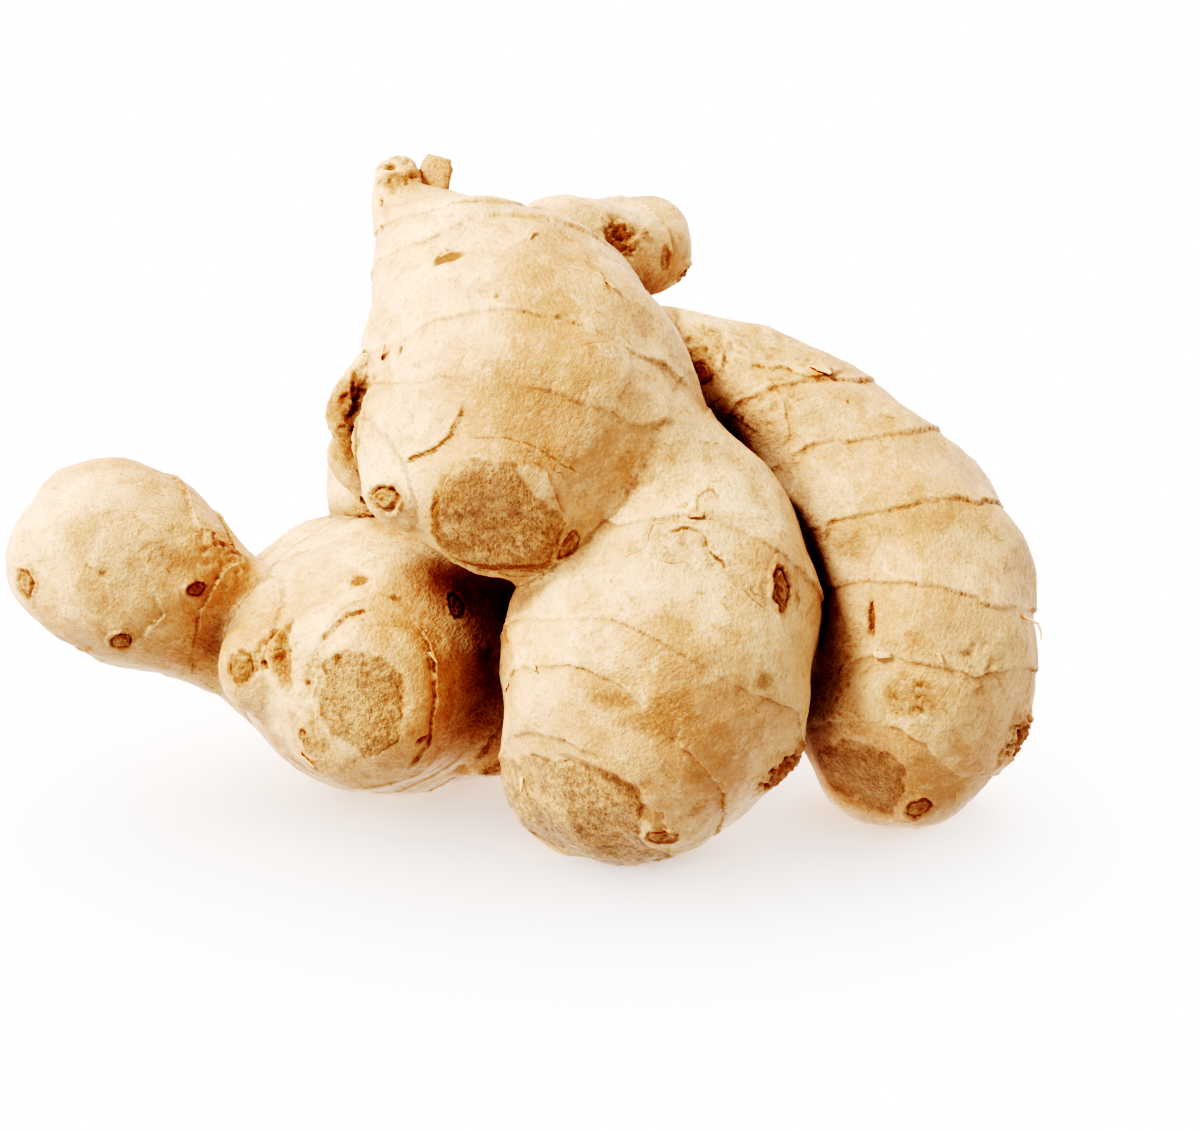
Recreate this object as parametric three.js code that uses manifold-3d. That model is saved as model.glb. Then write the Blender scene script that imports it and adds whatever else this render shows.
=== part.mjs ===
// A fresh ginger rhizome: one solid piece that grew as a hand of stout lobes.
// Millimetres, +Z up, standing on z = 0 on the undersides of its lowest lobes.
import * as THREE from "three";
import { mergeVertices } from "three/addons/utils/BufferGeometryUtils.js";
import Module from "manifold-3d";

const wasm = await Module();
wasm.setup();

// ---------------------------------------------------------------- driving dimensions

const SKIN = new THREE.MeshStandardMaterial({ color: 0xe2be8d, roughness: 0.62, metalness: 0 });

const FACET = 4.7; // width of a facet round a lobe
const LONGEST_STEP = 5.4; // greatest distance between two loops of a lobe
const RING_STEP = 0.75; // drop of the skin past a leaf ring
const RING_HALF = 0.45; // half the distance over which it drops
const RING_FADE = 8; // distance over which the skin evens out past the first and the last ring
const RING_WANDER = 0.5; // how far a ring strays from a flat circle
const LUMP = 0.45; // height of the slow lumps round a lobe
const FILLET = 5; // reach of the flare where a lobe grows out of its parent
const ROOT_LOOPS = 2; // loops that close the buried end of a lobe
const TIP_LOOPS = 3; // loops that close its free end
const TIP_START = 0.66; // where those start, as a share of the tip's radius past its centre
const BUD_SIDES = 8; // facets round a bud
const BUD_ROOT = 1.6; // how deep a bud's root is sunk
const SCAR_SIDES = 18; // facets round a corky end

// A lobe is a chain of round swellings, from the root buried in its parent to the tip: [x, y, z, radius].
// Its leaf rings are distances back from the last centre, and they turn from square to one direction at
// the root to square to another at the tip.
const LOBES = {
  top: {
    chain: [
      [-17.5, 16, 87.5, 2.8],
      [-16.3, 13.5, 82.9, 4.6],
      [-11, 9, 77.2, 10.5],
      [-4.2, 3, 70.4, 17.2],
      [0.2, -3, 64, 21.4],
      [-1, -8.5, 60.2, 19.9],
      [-2.1, -15.5, 56.2, 14],
    ],
    rings: [-9, -2, 5, 12, 19, 26, 33],
    squareTo: [[0.05, -0.7, -0.7], [-0.25, -0.6, -0.77]],
  },
  front: {
    chain: [
      [6, -5, 61, 11.5],
      [15, -8.5, 57.5, 10.6],
      [21.6, -11, 50, 11.6],
      [22.4, -13, 41.7, 16.3],
      [20.1, -15.5, 33.2, 19.8],
      [18, -16, 24, 19.9],
      [19, -14.5, 16.6, 17.1],
      [11.8, -16.5, 12.3, 12.6],
    ],
    rings: [-9, -2.5, 4.5, 11.5, 19, 27, 35],
    squareTo: [[-0.2, -0.5, -0.84], [-0.47, -0.68, -0.56]],
    parent: "top",
  },
  right: {
    chain: [
      [24.5, 11, 60.5, 8.2],
      [33, 9.5, 55.8, 10.6],
      [41, 7, 49.5, 13.4],
      [48.2, 3, 41.8, 15.7],
      [54.3, -0.5, 34.4, 16.8],
      [55.5, -4.5, 24, 16.9],
      [54.4, -4, 14, 15],
    ],
    rings: [-6, 2, 10, 18, 26.5, 35, 44, 52],
    squareTo: [[0.45, -0.5, -0.74], [-0.1, -0.47, -0.87]],
    parent: "top",
  },
  knob: {
    chain: [
      [-7.5, 10, 15.8, 16],
      [-15, 8.5, 18.2, 18.4],
      [-20.2, 5, 19.2, 19.4],
      [-22, -5, 20.6, 15.4],
    ],
    rings: [-9.5, -3.5, 3, 10],
    squareTo: [[-0.5, -0.8, 0.1], [-0.17, -0.98, 0]],
    parent: "body",
  },
  left: {
    chain: [
      [-27.2, 14, 20.6, 15.4],
      [-34.2, 10, 20, 12.2],
      [-41.2, 8, 22.4, 9.8],
      [-47.9, 6, 27.7, 11.4],
      [-54.6, 4, 32.8, 13.6],
      [-58.8, 2, 36, 13.6],
    ],
    rings: [-5, 2, 9, 16, 22],
    squareTo: [[-0.85, -0.4, 0.05], [-0.75, -0.4, 0.5]],
    parent: "knob",
  },
  body: {
    chain: [
      [-9, 19, 17, 16.5],
      [4, 25, 26, 18],
      [13, 18, 41, 17.5],
      [14, 10, 57, 13],
    ],
    rings: [7, 18, 29],
    squareTo: [[0.8, 0.3, 0.5], [0.2, -0.4, 0.9]],
  },
  heel: {
    chain: [
      [4, 26, 24, 13],
      [9, 33, 13, 13.4],
    ],
    rings: [0],
    squareTo: [[0.4, 0.7, -0.6], [0.4, 0.7, -0.6]],
    parent: "body",
  },
  hind: {
    chain: [
      [5.1, 20, 74.1, 9.1],
      [12.3, 27, 74.1, 7.3],
      [17.1, 31, 73.6, 6.7],
    ],
    rings: [2],
    squareTo: [[0.6, 0.75, 0], [0.75, 0.65, -0.05]],
    parent: "top",
  },
  shoulder: {
    chain: [
      [-8, 22, 30, 12],
      [-20, 21, 39.5, 9.4],
    ],
    rings: [3],
    squareTo: [[-0.7, 0, 0.7], [-0.7, 0, 0.7]],
    parent: "body",
  },
  driedBud: {
    chain: [
      [-21.3, -2.5, 62.5, 2],
      [-23, -3, 59, 3],
      [-22.8, -4.5, 55, 2.9],
      [-20.8, -7.5, 52, 2.4],
    ],
    rings: [],
    squareTo: [[0.1, -0.3, -0.95], [0.1, -0.4, -0.9]],
  },
  nub: {
    chain: [
      [-33.5, 3, 20, 7],
      [-38.2, -4.5, 20.8, 4.3],
    ],
    rings: [-2, 1.5],
    squareTo: [[-0.55, -0.8, 0.1], [-0.55, -0.8, 0.1]],
  },
  sheath: {
    chain: [
      [-14, 16, 85.5, 2],
      [-12, 18, 88.6, 1],
    ],
    rings: [],
    squareTo: [[0.45, 0.3, 0.8], [0.45, 0.3, 0.8]],
  },
};

// Low domed buds and bud scars with a dimpled middle: the lobe, how far back from its last centre,
// degrees round it from its uppermost side, radius and height.
const BUDS = [
  { on: "left", back: -11, turn: -150, radius: 2.6, height: 1 },
  { on: "left", back: 1.5, turn: -124, radius: 2.6, height: 1.1 },
  { on: "left", back: 8.4, turn: -73, radius: 2.5, height: 1.2 },
  { on: "left", back: 14, turn: 95, radius: 2.5, height: 1.1 },
  { on: "nub", back: -3.3, turn: -17, radius: 2, height: 0.8 },
  { on: "knob", back: -13.7, turn: 123, radius: 1.8, height: 0.8 },
  { on: "knob", back: -12.8, turn: 150, radius: 2.4, height: 1.5 },
  { on: "knob", back: 2.5, turn: -49, radius: 2.3, height: 1.1 },
  { on: "knob", back: 7.4, turn: -73, radius: 2.2, height: 1 },
  { on: "knob", back: 9.5, turn: -131, radius: 2.6, height: 1.2 },
  { on: "top", back: -7.5, turn: 83, radius: 2.6, height: 1.2 },
  { on: "top", back: -8.4, turn: -95, radius: 1.8, height: 0.9 },
  { on: "top", back: 18, turn: 150, radius: 2.6, height: 1.1 },
  { on: "front", back: -7.6, turn: -86, radius: 2.9, height: 1.1 },
  { on: "front", back: 9.6, turn: -91, radius: 3, height: 1.4 },
  { on: "front", back: 30.2, turn: -71, radius: 2.7, height: 1.3 },
  { on: "right", back: -12, turn: -24, radius: 2.7, height: 1.3 },
  { on: "right", back: -2, turn: -75, radius: 3.1, height: 1.4 },
  { on: "right", back: 59.8, turn: 47, radius: 2, height: 0.9 },
  { on: "right", back: 20, turn: 170, radius: 2.6, height: 1.2 },
  { on: "right", back: 38, turn: -130, radius: 2.6, height: 1.2 },
  { on: "body", back: 26, turn: -160, radius: 2.8, height: 1.3 },
  { on: "heel", back: -7, turn: 60, radius: 2.6, height: 1.2 },
  { on: "hind", back: -2.6, turn: 121, radius: 2, height: 0.9 },
];

// Flat corky ends, where the rhizome was parted or a stem died back: the lobe, the way the scar
// faces from the lobe's last centre, its radius, and how deep it lies below the skin.
const SCARS = [
  { on: "top", facing: [0, -0.99, -0.11], radius: 7.6, depth: 2.5 },
  { on: "knob", facing: [0.05, -0.98, 0.2], radius: 7.2, depth: 2.2 },
  { on: "front", facing: [-0.4, -0.9, -0.1], radius: 7.4, depth: 2 },
  { on: "right", facing: [-0.53, -0.78, -0.34], radius: 5.8, depth: 1.5 },
  { on: "heel", facing: [0.35, 0.9, 0.1], radius: 5.6, depth: 1.6 },
  { on: "shoulder", facing: [-0.75, 0.55, 0.35], radius: 4, depth: 1.2 },
];

// ---------------------------------------------------------------- the shape of a lobe

const BEAD = 1.5; // spacing of the round swellings once the chain is smoothed
const UP = new THREE.Vector3(0, 0, 1);

function catmull(a, b, c, d, t) {
  return b + 0.5 * t * (c - a + t * (2 * a - 5 * b + 4 * c - d + t * (3 * (b - c) + d - a)));
}

// The chain as a smooth row of beads, each with its centre, radius and distance along.
function beadsOf(chain) {
  const beads = [];
  for (let i = 0; i < chain.length - 1; i++) {
    const [from, to] = [chain[i], chain[i + 1]];
    const [before, after] = [chain[i - 1] ?? from, chain[i + 2] ?? to];
    const steps = Math.ceil(Math.hypot(to[0] - from[0], to[1] - from[1], to[2] - from[2]) / BEAD);
    for (let k = i === 0 ? 0 : 1; k <= steps; k++) {
      const value = from.map((_, a) => catmull(before[a], from[a], to[a], after[a], k / steps));
      beads.push({ centre: new THREE.Vector3(...value), radius: value[3] });
    }
  }
  beads.forEach((bead, i) => {
    const last = beads[Math.max(i - 1, 0)];
    bead.along = i ? last.along + bead.centre.distanceTo(last.centre) : 0;
  });
  return beads;
}

// The section of a lobe at a distance along: its centre, what it is square to, and a way to point
// outward at any turn round it. Turn 0 is its uppermost side. Past the last bead it runs straight on.
function sectionAt({ beads, squareTo }, along) {
  let i = 0;
  while (i < beads.length - 2 && beads[i + 1].along < along) i++;
  const [from, to] = [beads[i], beads[i + 1]];
  const share = Math.min(along / beads[beads.length - 1].along, 1);
  const heading = squareTo[0].clone().lerp(squareTo[1], share).normalize();
  const between = Math.min((along - from.along) / (to.along - from.along), 1);
  const centre = from.centre.clone().lerp(to.centre, between);
  if (along > to.along) centre.addScaledVector(heading, along - to.along);
  const across = UP.clone().addScaledVector(heading, -UP.dot(heading)).normalize();
  const aside = new THREE.Vector3().crossVectors(heading, across);
  const outward = (turn) =>
    across.clone().multiplyScalar(Math.cos(turn)).addScaledVector(aside, Math.sin(turn));
  return { centre, heading, outward };
}

// Distance from a point to the skin that wraps a row of beads, negative inside.
function distanceTo(beads, point) {
  let nearest = Infinity;
  for (const { centre, radius } of beads) nearest = Math.min(nearest, centre.distanceTo(point) - radius);
  return nearest;
}

// The skin point met first from a centre inside the lobe, in one direction.
function skinPoint(beads, centre, direction) {
  const point = centre.clone();
  for (let i = 0; i < 40; i++) {
    const gap = -distanceTo(beads, point);
    point.addScaledVector(direction, gap);
    if (gap < 1e-3) break;
  }
  return point;
}

// The skin rises slowly towards each leaf ring and drops past it, as overlapping sheaths do.
function ringRelief(along, rings) {
  const before = rings.findLast((ring) => ring <= along);
  const after = rings.find((ring) => ring > along);
  if (before === undefined && after === undefined) return 0;
  if (before === undefined) return 0.5 * RING_STEP * Math.max(0, 1 - (after - along) / RING_FADE);
  if (after === undefined) return -0.5 * RING_STEP * Math.max(0, 1 - (along - before) / RING_FADE);
  return RING_STEP * ((along - before) / (after - before) - 0.5);
}

// How far a ring strays along the lobe from a flat circle.
function ringWander(along, turn) {
  return RING_WANDER * (Math.sin(2 * turn + 0.21 * along) + 0.6 * Math.sin(3 * turn - 0.37 * along));
}

// Slow lumps that keep a lobe from being a turned shape.
function lumpRelief({ x, y, z }) {
  const crossed = Math.sin(0.31 * x + 0.19 * z) * Math.sin(0.27 * y - 0.17 * x);
  return LUMP * (crossed + Math.sin(0.23 * z + 0.4 * y));
}

// How far the skin flares out beside the lobe that it grows from.
function flare(distance) {
  const near = 1 - Math.abs(distance) / FILLET;
  return near > 0 ? 0.25 * FILLET * near * near : 0;
}

// Distances along the lobe that carry a loop: one each side of every ring, and some between.
function stations(end, rings) {
  const fixed = [0, end];
  for (const ring of rings)
    for (const step of [-RING_HALF, RING_HALF])
      if (ring + step > 0.5 && ring + step < end - 0.5) fixed.push(ring + step);
  fixed.sort((a, b) => a - b);
  const all = [fixed[0]];
  for (let i = 1; i < fixed.length; i++) {
    const gap = fixed[i] - fixed[i - 1];
    const parts = Math.ceil(gap / LONGEST_STEP);
    for (let k = 1; k <= parts; k++) all.push(fixed[i - 1] + (gap * k) / parts);
  }
  return all;
}

// A place on the skin: where a ray from inside a lobe comes out, turned so that z points straight out.
function seat({ beads }, centre, direction) {
  const point = skinPoint(beads, centre, direction);
  const nearest = beads.reduce((best, bead) => {
    const gap = bead.centre.distanceTo(point) - bead.radius;
    return gap < best.gap ? { bead, gap } : best;
  }, { gap: Infinity });
  const out = point.clone().sub(nearest.bead.centre).normalize();
  const turned = new THREE.Quaternion().setFromUnitVectors(UP, out);
  return new THREE.Matrix4().compose(point, turned, new THREE.Vector3(1, 1, 1));
}

// A turned solid on the z axis, from the radius and height of each corner of its outline.
function turned(outline, sides) {
  const corners = outline.map(([radius, height]) => new THREE.Vector2(radius, height));
  return new THREE.LatheGeometry(corners, sides).rotateX(Math.PI / 2);
}

// A bud: a low dome with a dimple and a blunt point in its middle, and a root sunk in the skin.
function budGeometry({ radius, height }) {
  return turned(
    [
      [0, -BUD_ROOT],
      [1.1 * radius, -BUD_ROOT],
      [0.6 * radius, height],
      [0.3 * radius, 0.4 * height],
      [0, 0.7 * height],
    ],
    BUD_SIDES,
  );
}

// What is cut away over a corky end: a slightly hollow-faced disc, open outward.
function scarCutter({ radius, depth }) {
  return turned(
    [
      [0, 0.4 - depth],
      [0.85 * radius, -depth],
      [radius, 0.3 - depth],
      [radius + 1, depth + 1],
      [0, depth + 1],
    ],
    SCAR_SIDES,
  );
}

// Tilts of the loops that close an end, from the first one past the lobe's side to the pole.
function capTilts(loops) {
  return Array.from({ length: loops }, (_, k) => (Math.PI / 2) * ((k + 1) / loops));
}

// A closed skin over a lobe: loops round the chain, and a pole at each end.
function lobeGeometry(lobe, parent) {
  const { beads, rings } = lobe;
  const tip = beads[beads.length - 1];
  const end = tip.along + TIP_START * tip.radius;
  const widest = Math.max(...beads.map((bead) => bead.radius));
  const sides = Math.max(12, Math.round((2 * Math.PI * widest) / FACET));
  const loops = [
    ...capTilts(ROOT_LOOPS).toReversed().map((tilt) => ({ along: 0, tilt: -tilt })),
    ...stations(end, rings).map((along) => ({ along, tilt: 0 })),
    ...capTilts(TIP_LOOPS).map((tilt) => ({ along: end, tilt })),
  ];
  const points = [];
  for (const { along, tilt } of loops) {
    const { centre, heading, outward } = sectionAt(lobe, along);
    for (let k = 0; k < sides; k++) {
      const turn = (2 * Math.PI * k) / sides;
      const direction = outward(turn).multiplyScalar(Math.cos(tilt)).addScaledVector(heading, Math.sin(tilt));
      const from = centre.clone().addScaledVector(heading, ringWander(along, turn) * Math.cos(tilt));
      const point = skinPoint(beads, from, direction);
      const reach = point.clone().sub(centre).dot(heading);
      let height = ringRelief(along + reach, rings) * Math.cos(tilt) + lumpRelief(point);
      if (parent) height += flare(distanceTo(parent.beads, point));
      points.push(point.addScaledVector(direction, height));
    }
  }
  return tubeOf(points, sides);
}

// Joins rows of points into a tube. The first and last rows are poles, each one point repeated.
function tubeOf(points, sides) {
  const rows = points.length / sides;
  for (const pole of [0, rows - 1])
    for (let k = 1; k < sides; k++) points[pole * sides + k].copy(points[pole * sides]);
  const index = [];
  for (let row = 0; row < rows - 1; row++)
    for (let k = 0; k < sides; k++) {
      const [a, b] = [row * sides + k, row * sides + ((k + 1) % sides)];
      const [c, d] = [a + sides, b + sides];
      index.push(a, b, d, a, d, c);
    }
  return new THREE.BufferGeometry().setFromPoints(points).setIndex(index);
}

// ---------------------------------------------------------------- solids

// A closed solid from corners and the triangles between them.
function solidOf(vertProperties, triangles) {
  const triVerts = new Uint32Array(triangles);
  return new wasm.Manifold(new wasm.Mesh({ numProp: 3, vertProperties, triVerts }));
}

// A closed solid from a geometry, with its faces pointing out and no triangle of zero width.
function solid(geometry) {
  const plain = new THREE.BufferGeometry().setAttribute("position", geometry.getAttribute("position"));
  if (geometry.index) plain.setIndex(geometry.index);
  const merged = mergeVertices(plain, 1e-3);
  const corners = merged.getAttribute("position").array;
  const index = merged.index.array;
  const kept = [];
  for (let i = 0; i < index.length; i += 3) {
    const [a, b, c] = [index[i], index[i + 1], index[i + 2]];
    if (a !== b && b !== c && a !== c) kept.push(a, b, c);
  }
  const first = solidOf(corners, kept);
  return first.volume() > 0 ? first : solidOf(corners, kept.reverse());
}

// The outer skin of a fused solid alone: any pocket sealed between the lobes is filled.
function outerSkin(manifold) {
  const { vertProperties, triVerts } = manifold.getMesh();
  const owner = Array.from({ length: vertProperties.length / 3 }, (_, i) => i);
  const root = (i) => {
    while (owner[i] !== i) i = owner[i] = owner[owner[i]];
    return i;
  };
  for (let i = 0; i < triVerts.length; i += 3)
    for (const k of [1, 2]) owner[root(triVerts[i + k])] = root(triVerts[i]);
  const shells = new Map();
  for (let i = 0; i < triVerts.length; i += 3) {
    const shell = root(triVerts[i]);
    if (!shells.has(shell)) shells.set(shell, []);
    shells.get(shell).push(triVerts[i], triVerts[i + 1], triVerts[i + 2]);
  }
  const [largest] = [...shells.values()].sort((a, b) => b.length - a.length);
  return solidOf(vertProperties, largest);
}

function geometryOf(manifold) {
  const { vertProperties, triVerts } = manifold.getMesh();
  return new THREE.BufferGeometry()
    .setAttribute("position", new THREE.BufferAttribute(vertProperties, 3))
    .setIndex(new THREE.BufferAttribute(triVerts, 1));
}

// ---------------------------------------------------------------- the rhizome

const lobes = {};
for (const [name, { chain, rings, squareTo, parent }] of Object.entries(LOBES)) {
  const beads = beadsOf(chain);
  const length = beads[beads.length - 1].along;
  lobes[name] = {
    beads,
    rings: rings.map((back) => length - back).toSorted((a, b) => a - b),
    squareTo: squareTo.map((direction) => new THREE.Vector3(...direction).normalize()),
    parent,
  };
}

let rhizome = null;
for (const lobe of Object.values(lobes)) {
  const piece = solid(lobeGeometry(lobe, lobes[lobe.parent]));
  rhizome = rhizome ? rhizome.add(piece) : piece;
}

for (const scar of SCARS) {
  const lobe = lobes[scar.on];
  const { centre } = lobe.beads[lobe.beads.length - 1];
  const place = seat(lobe, centre, new THREE.Vector3(...scar.facing).normalize());
  rhizome = rhizome.subtract(solid(scarCutter(scar).applyMatrix4(place)));
}

for (const bud of BUDS) {
  const lobe = lobes[bud.on];
  const length = lobe.beads[lobe.beads.length - 1].along;
  const { centre, outward } = sectionAt(lobe, length - bud.back);
  const place = seat(lobe, centre, outward(THREE.MathUtils.degToRad(bud.turn)));
  rhizome = rhizome.add(solid(budGeometry(bud).applyMatrix4(place)));
}

// The lowest lobes are pressed a little flat where they meet the ground.
const ground = new THREE.BoxGeometry(400, 400, 40).translate(0, 0, -20);
rhizome = outerSkin(rhizome.subtract(solid(ground)));

// The origin is under the middle of the rhizome, on the ground.
const geometry = geometryOf(rhizome);
geometry.computeBoundingBox();
const middle = geometry.boundingBox.getCenter(new THREE.Vector3());
geometry.translate(-middle.x, -middle.y, 0);

const mesh = new THREE.Mesh(geometry, SKIN);
mesh.name = "rhizome";
const group = new THREE.Group();
group.add(mesh);
export default group;
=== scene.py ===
"""A fresh ginger rhizome, dressed for its portrait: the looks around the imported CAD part.

The lobes are worked out in millimetres, in the frame that part.mjs draws them in, and are moved by
ORIGIN and scaled to metres when a mesh is made. Marks that the photograph shows are placed by its
pixels, and each is cast along the camera's line of sight onto the skin.
"""

import functools
import math

import bmesh
import bpy
import numpy as np
from mathutils import Matrix, Vector
from mathutils.bvhtree import BVHTree
from mathutils.kdtree import KDTree


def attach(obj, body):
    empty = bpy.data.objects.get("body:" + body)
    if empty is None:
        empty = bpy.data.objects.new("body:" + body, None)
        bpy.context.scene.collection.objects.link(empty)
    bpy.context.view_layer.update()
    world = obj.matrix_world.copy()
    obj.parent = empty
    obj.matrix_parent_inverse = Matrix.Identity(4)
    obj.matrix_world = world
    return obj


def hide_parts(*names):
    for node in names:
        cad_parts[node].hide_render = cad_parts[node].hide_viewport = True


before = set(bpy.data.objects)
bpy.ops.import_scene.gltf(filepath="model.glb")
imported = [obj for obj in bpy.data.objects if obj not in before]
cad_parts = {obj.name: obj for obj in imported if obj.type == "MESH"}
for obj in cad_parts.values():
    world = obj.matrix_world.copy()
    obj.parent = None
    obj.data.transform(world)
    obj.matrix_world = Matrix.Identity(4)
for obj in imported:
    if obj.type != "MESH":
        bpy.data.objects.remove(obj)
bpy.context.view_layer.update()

MM = 0.001
ORIGIN = np.array([0.075, 5.202, 0.0])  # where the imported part's origin lies among the lobes, mm

# ---------------------------------------------------------------- the photograph's frame

PHOTO_SIZE = (1201, 1132)  # pixels
PHOTO_SCALE = 7.1  # pixels a millimetre at the target
PHOTO_MIDDLE = (600.5, 566.0)  # pixel that looks at the target
PHOTO_TARGET = np.array([10.9, 0.0, 35.6])
CAMERA_DISTANCE = 480.0
CAMERA_DROP = math.radians(22)  # how far the camera looks down

VIEW = np.array([0.0, math.cos(CAMERA_DROP), -math.sin(CAMERA_DROP)])
VIEW_UP = np.array([0.0, math.sin(CAMERA_DROP), math.cos(CAMERA_DROP)])
VIEW_RIGHT = np.array([1.0, 0.0, 0.0])
EYE = PHOTO_TARGET - CAMERA_DISTANCE * VIEW

# ---------------------------------------------------------------- the lobes

# A chain of round swellings from the root to the tip: [x, y, z, radius]. The lobe's loops are square
# to one direction at its root and turn to another at its tip, as in part.mjs. "joins" are the lobes
# that it grows out of, where the skin runs on in a smooth hollow, as wide as its fillet.
LOBES = {
    "top": {
        "chain": [
            [-17.5, 16, 87.5, 2.8], [-16.3, 13.5, 82.9, 4.6], [-10, 9, 77.2, 10.1],
            [-4.2, 3, 70.4, 17.2], [0.2, -3, 64, 21.4], [-1, -8.5, 60.2, 19.9], [-2.1, -15.5, 56.2, 14],
        ],
        "square_to": [[0.05, -0.7, -0.7], [-0.25, -0.6, -0.77]],
    },
    "front": {
        "chain": [
            [6, -5, 61, 11.5], [15, -8.5, 57.5, 10.6], [21.6, -11, 50, 11.6], [22.4, -13, 41.7, 16.3],
            [20.1, -15.5, 33.2, 19.8], [18, -16, 24, 19.9], [18.6, -14.5, 16.6, 16.6],
            [11.8, -16.5, 12.3, 12.6],
        ],
        "square_to": [[-0.2, -0.5, -0.84], [-0.47, -0.68, -0.56]],
        "joins": ["top"],
    },
    "right": {
        "chain": [
            [24.5, 11, 60.5, 8.2], [33, 9.5, 55.8, 10.6], [41, 7, 49.5, 13.4], [48.2, 3, 41.8, 15.7],
            [53.9, -0.5, 34.4, 17.1], [55, -4.5, 24, 17.4], [54, -4, 14, 15.4],
        ],
        "square_to": [[0.45, -0.5, -0.74], [-0.1, -0.47, -0.87]],
        "joins": ["top", "body"],
    },
    "knob": {
        "chain": [
            [-7.5, 10, 15.8, 16], [-15, 8.5, 18.2, 18.4], [-20.2, 5, 19.2, 19.4], [-22, -5, 20.6, 15.4],
        ],
        "square_to": [[-0.5, -0.8, 0.1], [-0.17, -0.98, 0]],
        "joins": ["body"],
    },
    "left": {
        "chain": [
            [-27.2, 14, 20.6, 15.4], [-34.2, 10, 20, 12.2], [-41.2, 8, 22.4, 9.8],
            [-47.9, 6, 27.7, 11.4], [-54.6, 4, 32.8, 13.6], [-58.8, 2, 36, 13.6],
        ],
        "square_to": [[-0.85, -0.4, 0.05], [-0.75, -0.4, 0.5]],
        "joins": ["knob"],
    },
    "body": {
        "chain": [
            [-9, 19, 17, 16.5], [4, 25, 26, 18], [13, 18, 41, 17.5], [14, 10, 57, 13],
        ],
        "square_to": [[0.8, 0.3, 0.5], [0.2, -0.4, 0.9]],
        "joins": ["top", "front"],
    },
    "heel": {
        "chain": [[4, 26, 24, 13], [9, 33, 13, 13.4]],
        "square_to": [[0.4, 0.7, -0.6], [0.4, 0.7, -0.6]],
        "joins": ["body"],
    },
    "hind": {
        "chain": [[5.1, 20, 74.1, 8.5], [12.3, 27, 74.1, 7.6], [17.6, 31, 73.6, 6.8]],
        "square_to": [[0.6, 0.75, 0], [0.75, 0.65, -0.05]],
        "joins": ["top"],
    },
    "shoulder": {
        "chain": [[-8, 22, 30, 12], [-20, 21, 39.5, 9.4]],
        "square_to": [[-0.7, 0, 0.7], [-0.7, 0, 0.7]],
        "joins": ["body"],
    },
    "dried_bud": {
        "chain": [
            [-21.2, -8, 68.4, 1.0], [-22.8, -8.5, 65.4, 2.2], [-23.8, -9, 62.2, 2.9],
            [-23.0, -10.4, 58.8, 2.1], [-23.0, -11.2, 56.2, 2.5], [-21.8, -12.5, 52.8, 1.6],
            [-20.2, -14, 49.6, 0.6],
        ],
        "square_to": [[-0.1, -0.2, -0.95], [0.2, -0.35, -0.9]],
        "joins": ["top"],
        "fillet": 1.0,
    },
    "nub": {
        "chain": [[-34.8, -1.0, 29.0, 3.8], [-37.3, -6.4, 26.0, 4.5], [-37.3, -8.0, 21.8, 4.4]],
        "square_to": [[-0.4, -0.6, -0.7], [-0.4, -0.7, -0.6]],
        "joins": ["knob", "left"],
        "fillet": 2.8,
    },
    "corner": {
        "chain": [[-12, -14, 58, 9], [-15.8, -19.6, 55.2, 5.0]],
        "square_to": [[-0.5, -0.75, -0.4], [-0.5, -0.75, -0.4]],
        "joins": ["top"],
        "fillet": 4.5,
    },
    "toe": {
        "chain": [[19, -15.7, 28, 19.5], [11.8, -16.5, 12.3, 12.6]],
        "square_to": [[-0.47, -0.68, -0.56], [-0.47, -0.68, -0.56]],
        "joins": ["front"],
    },
}

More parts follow.
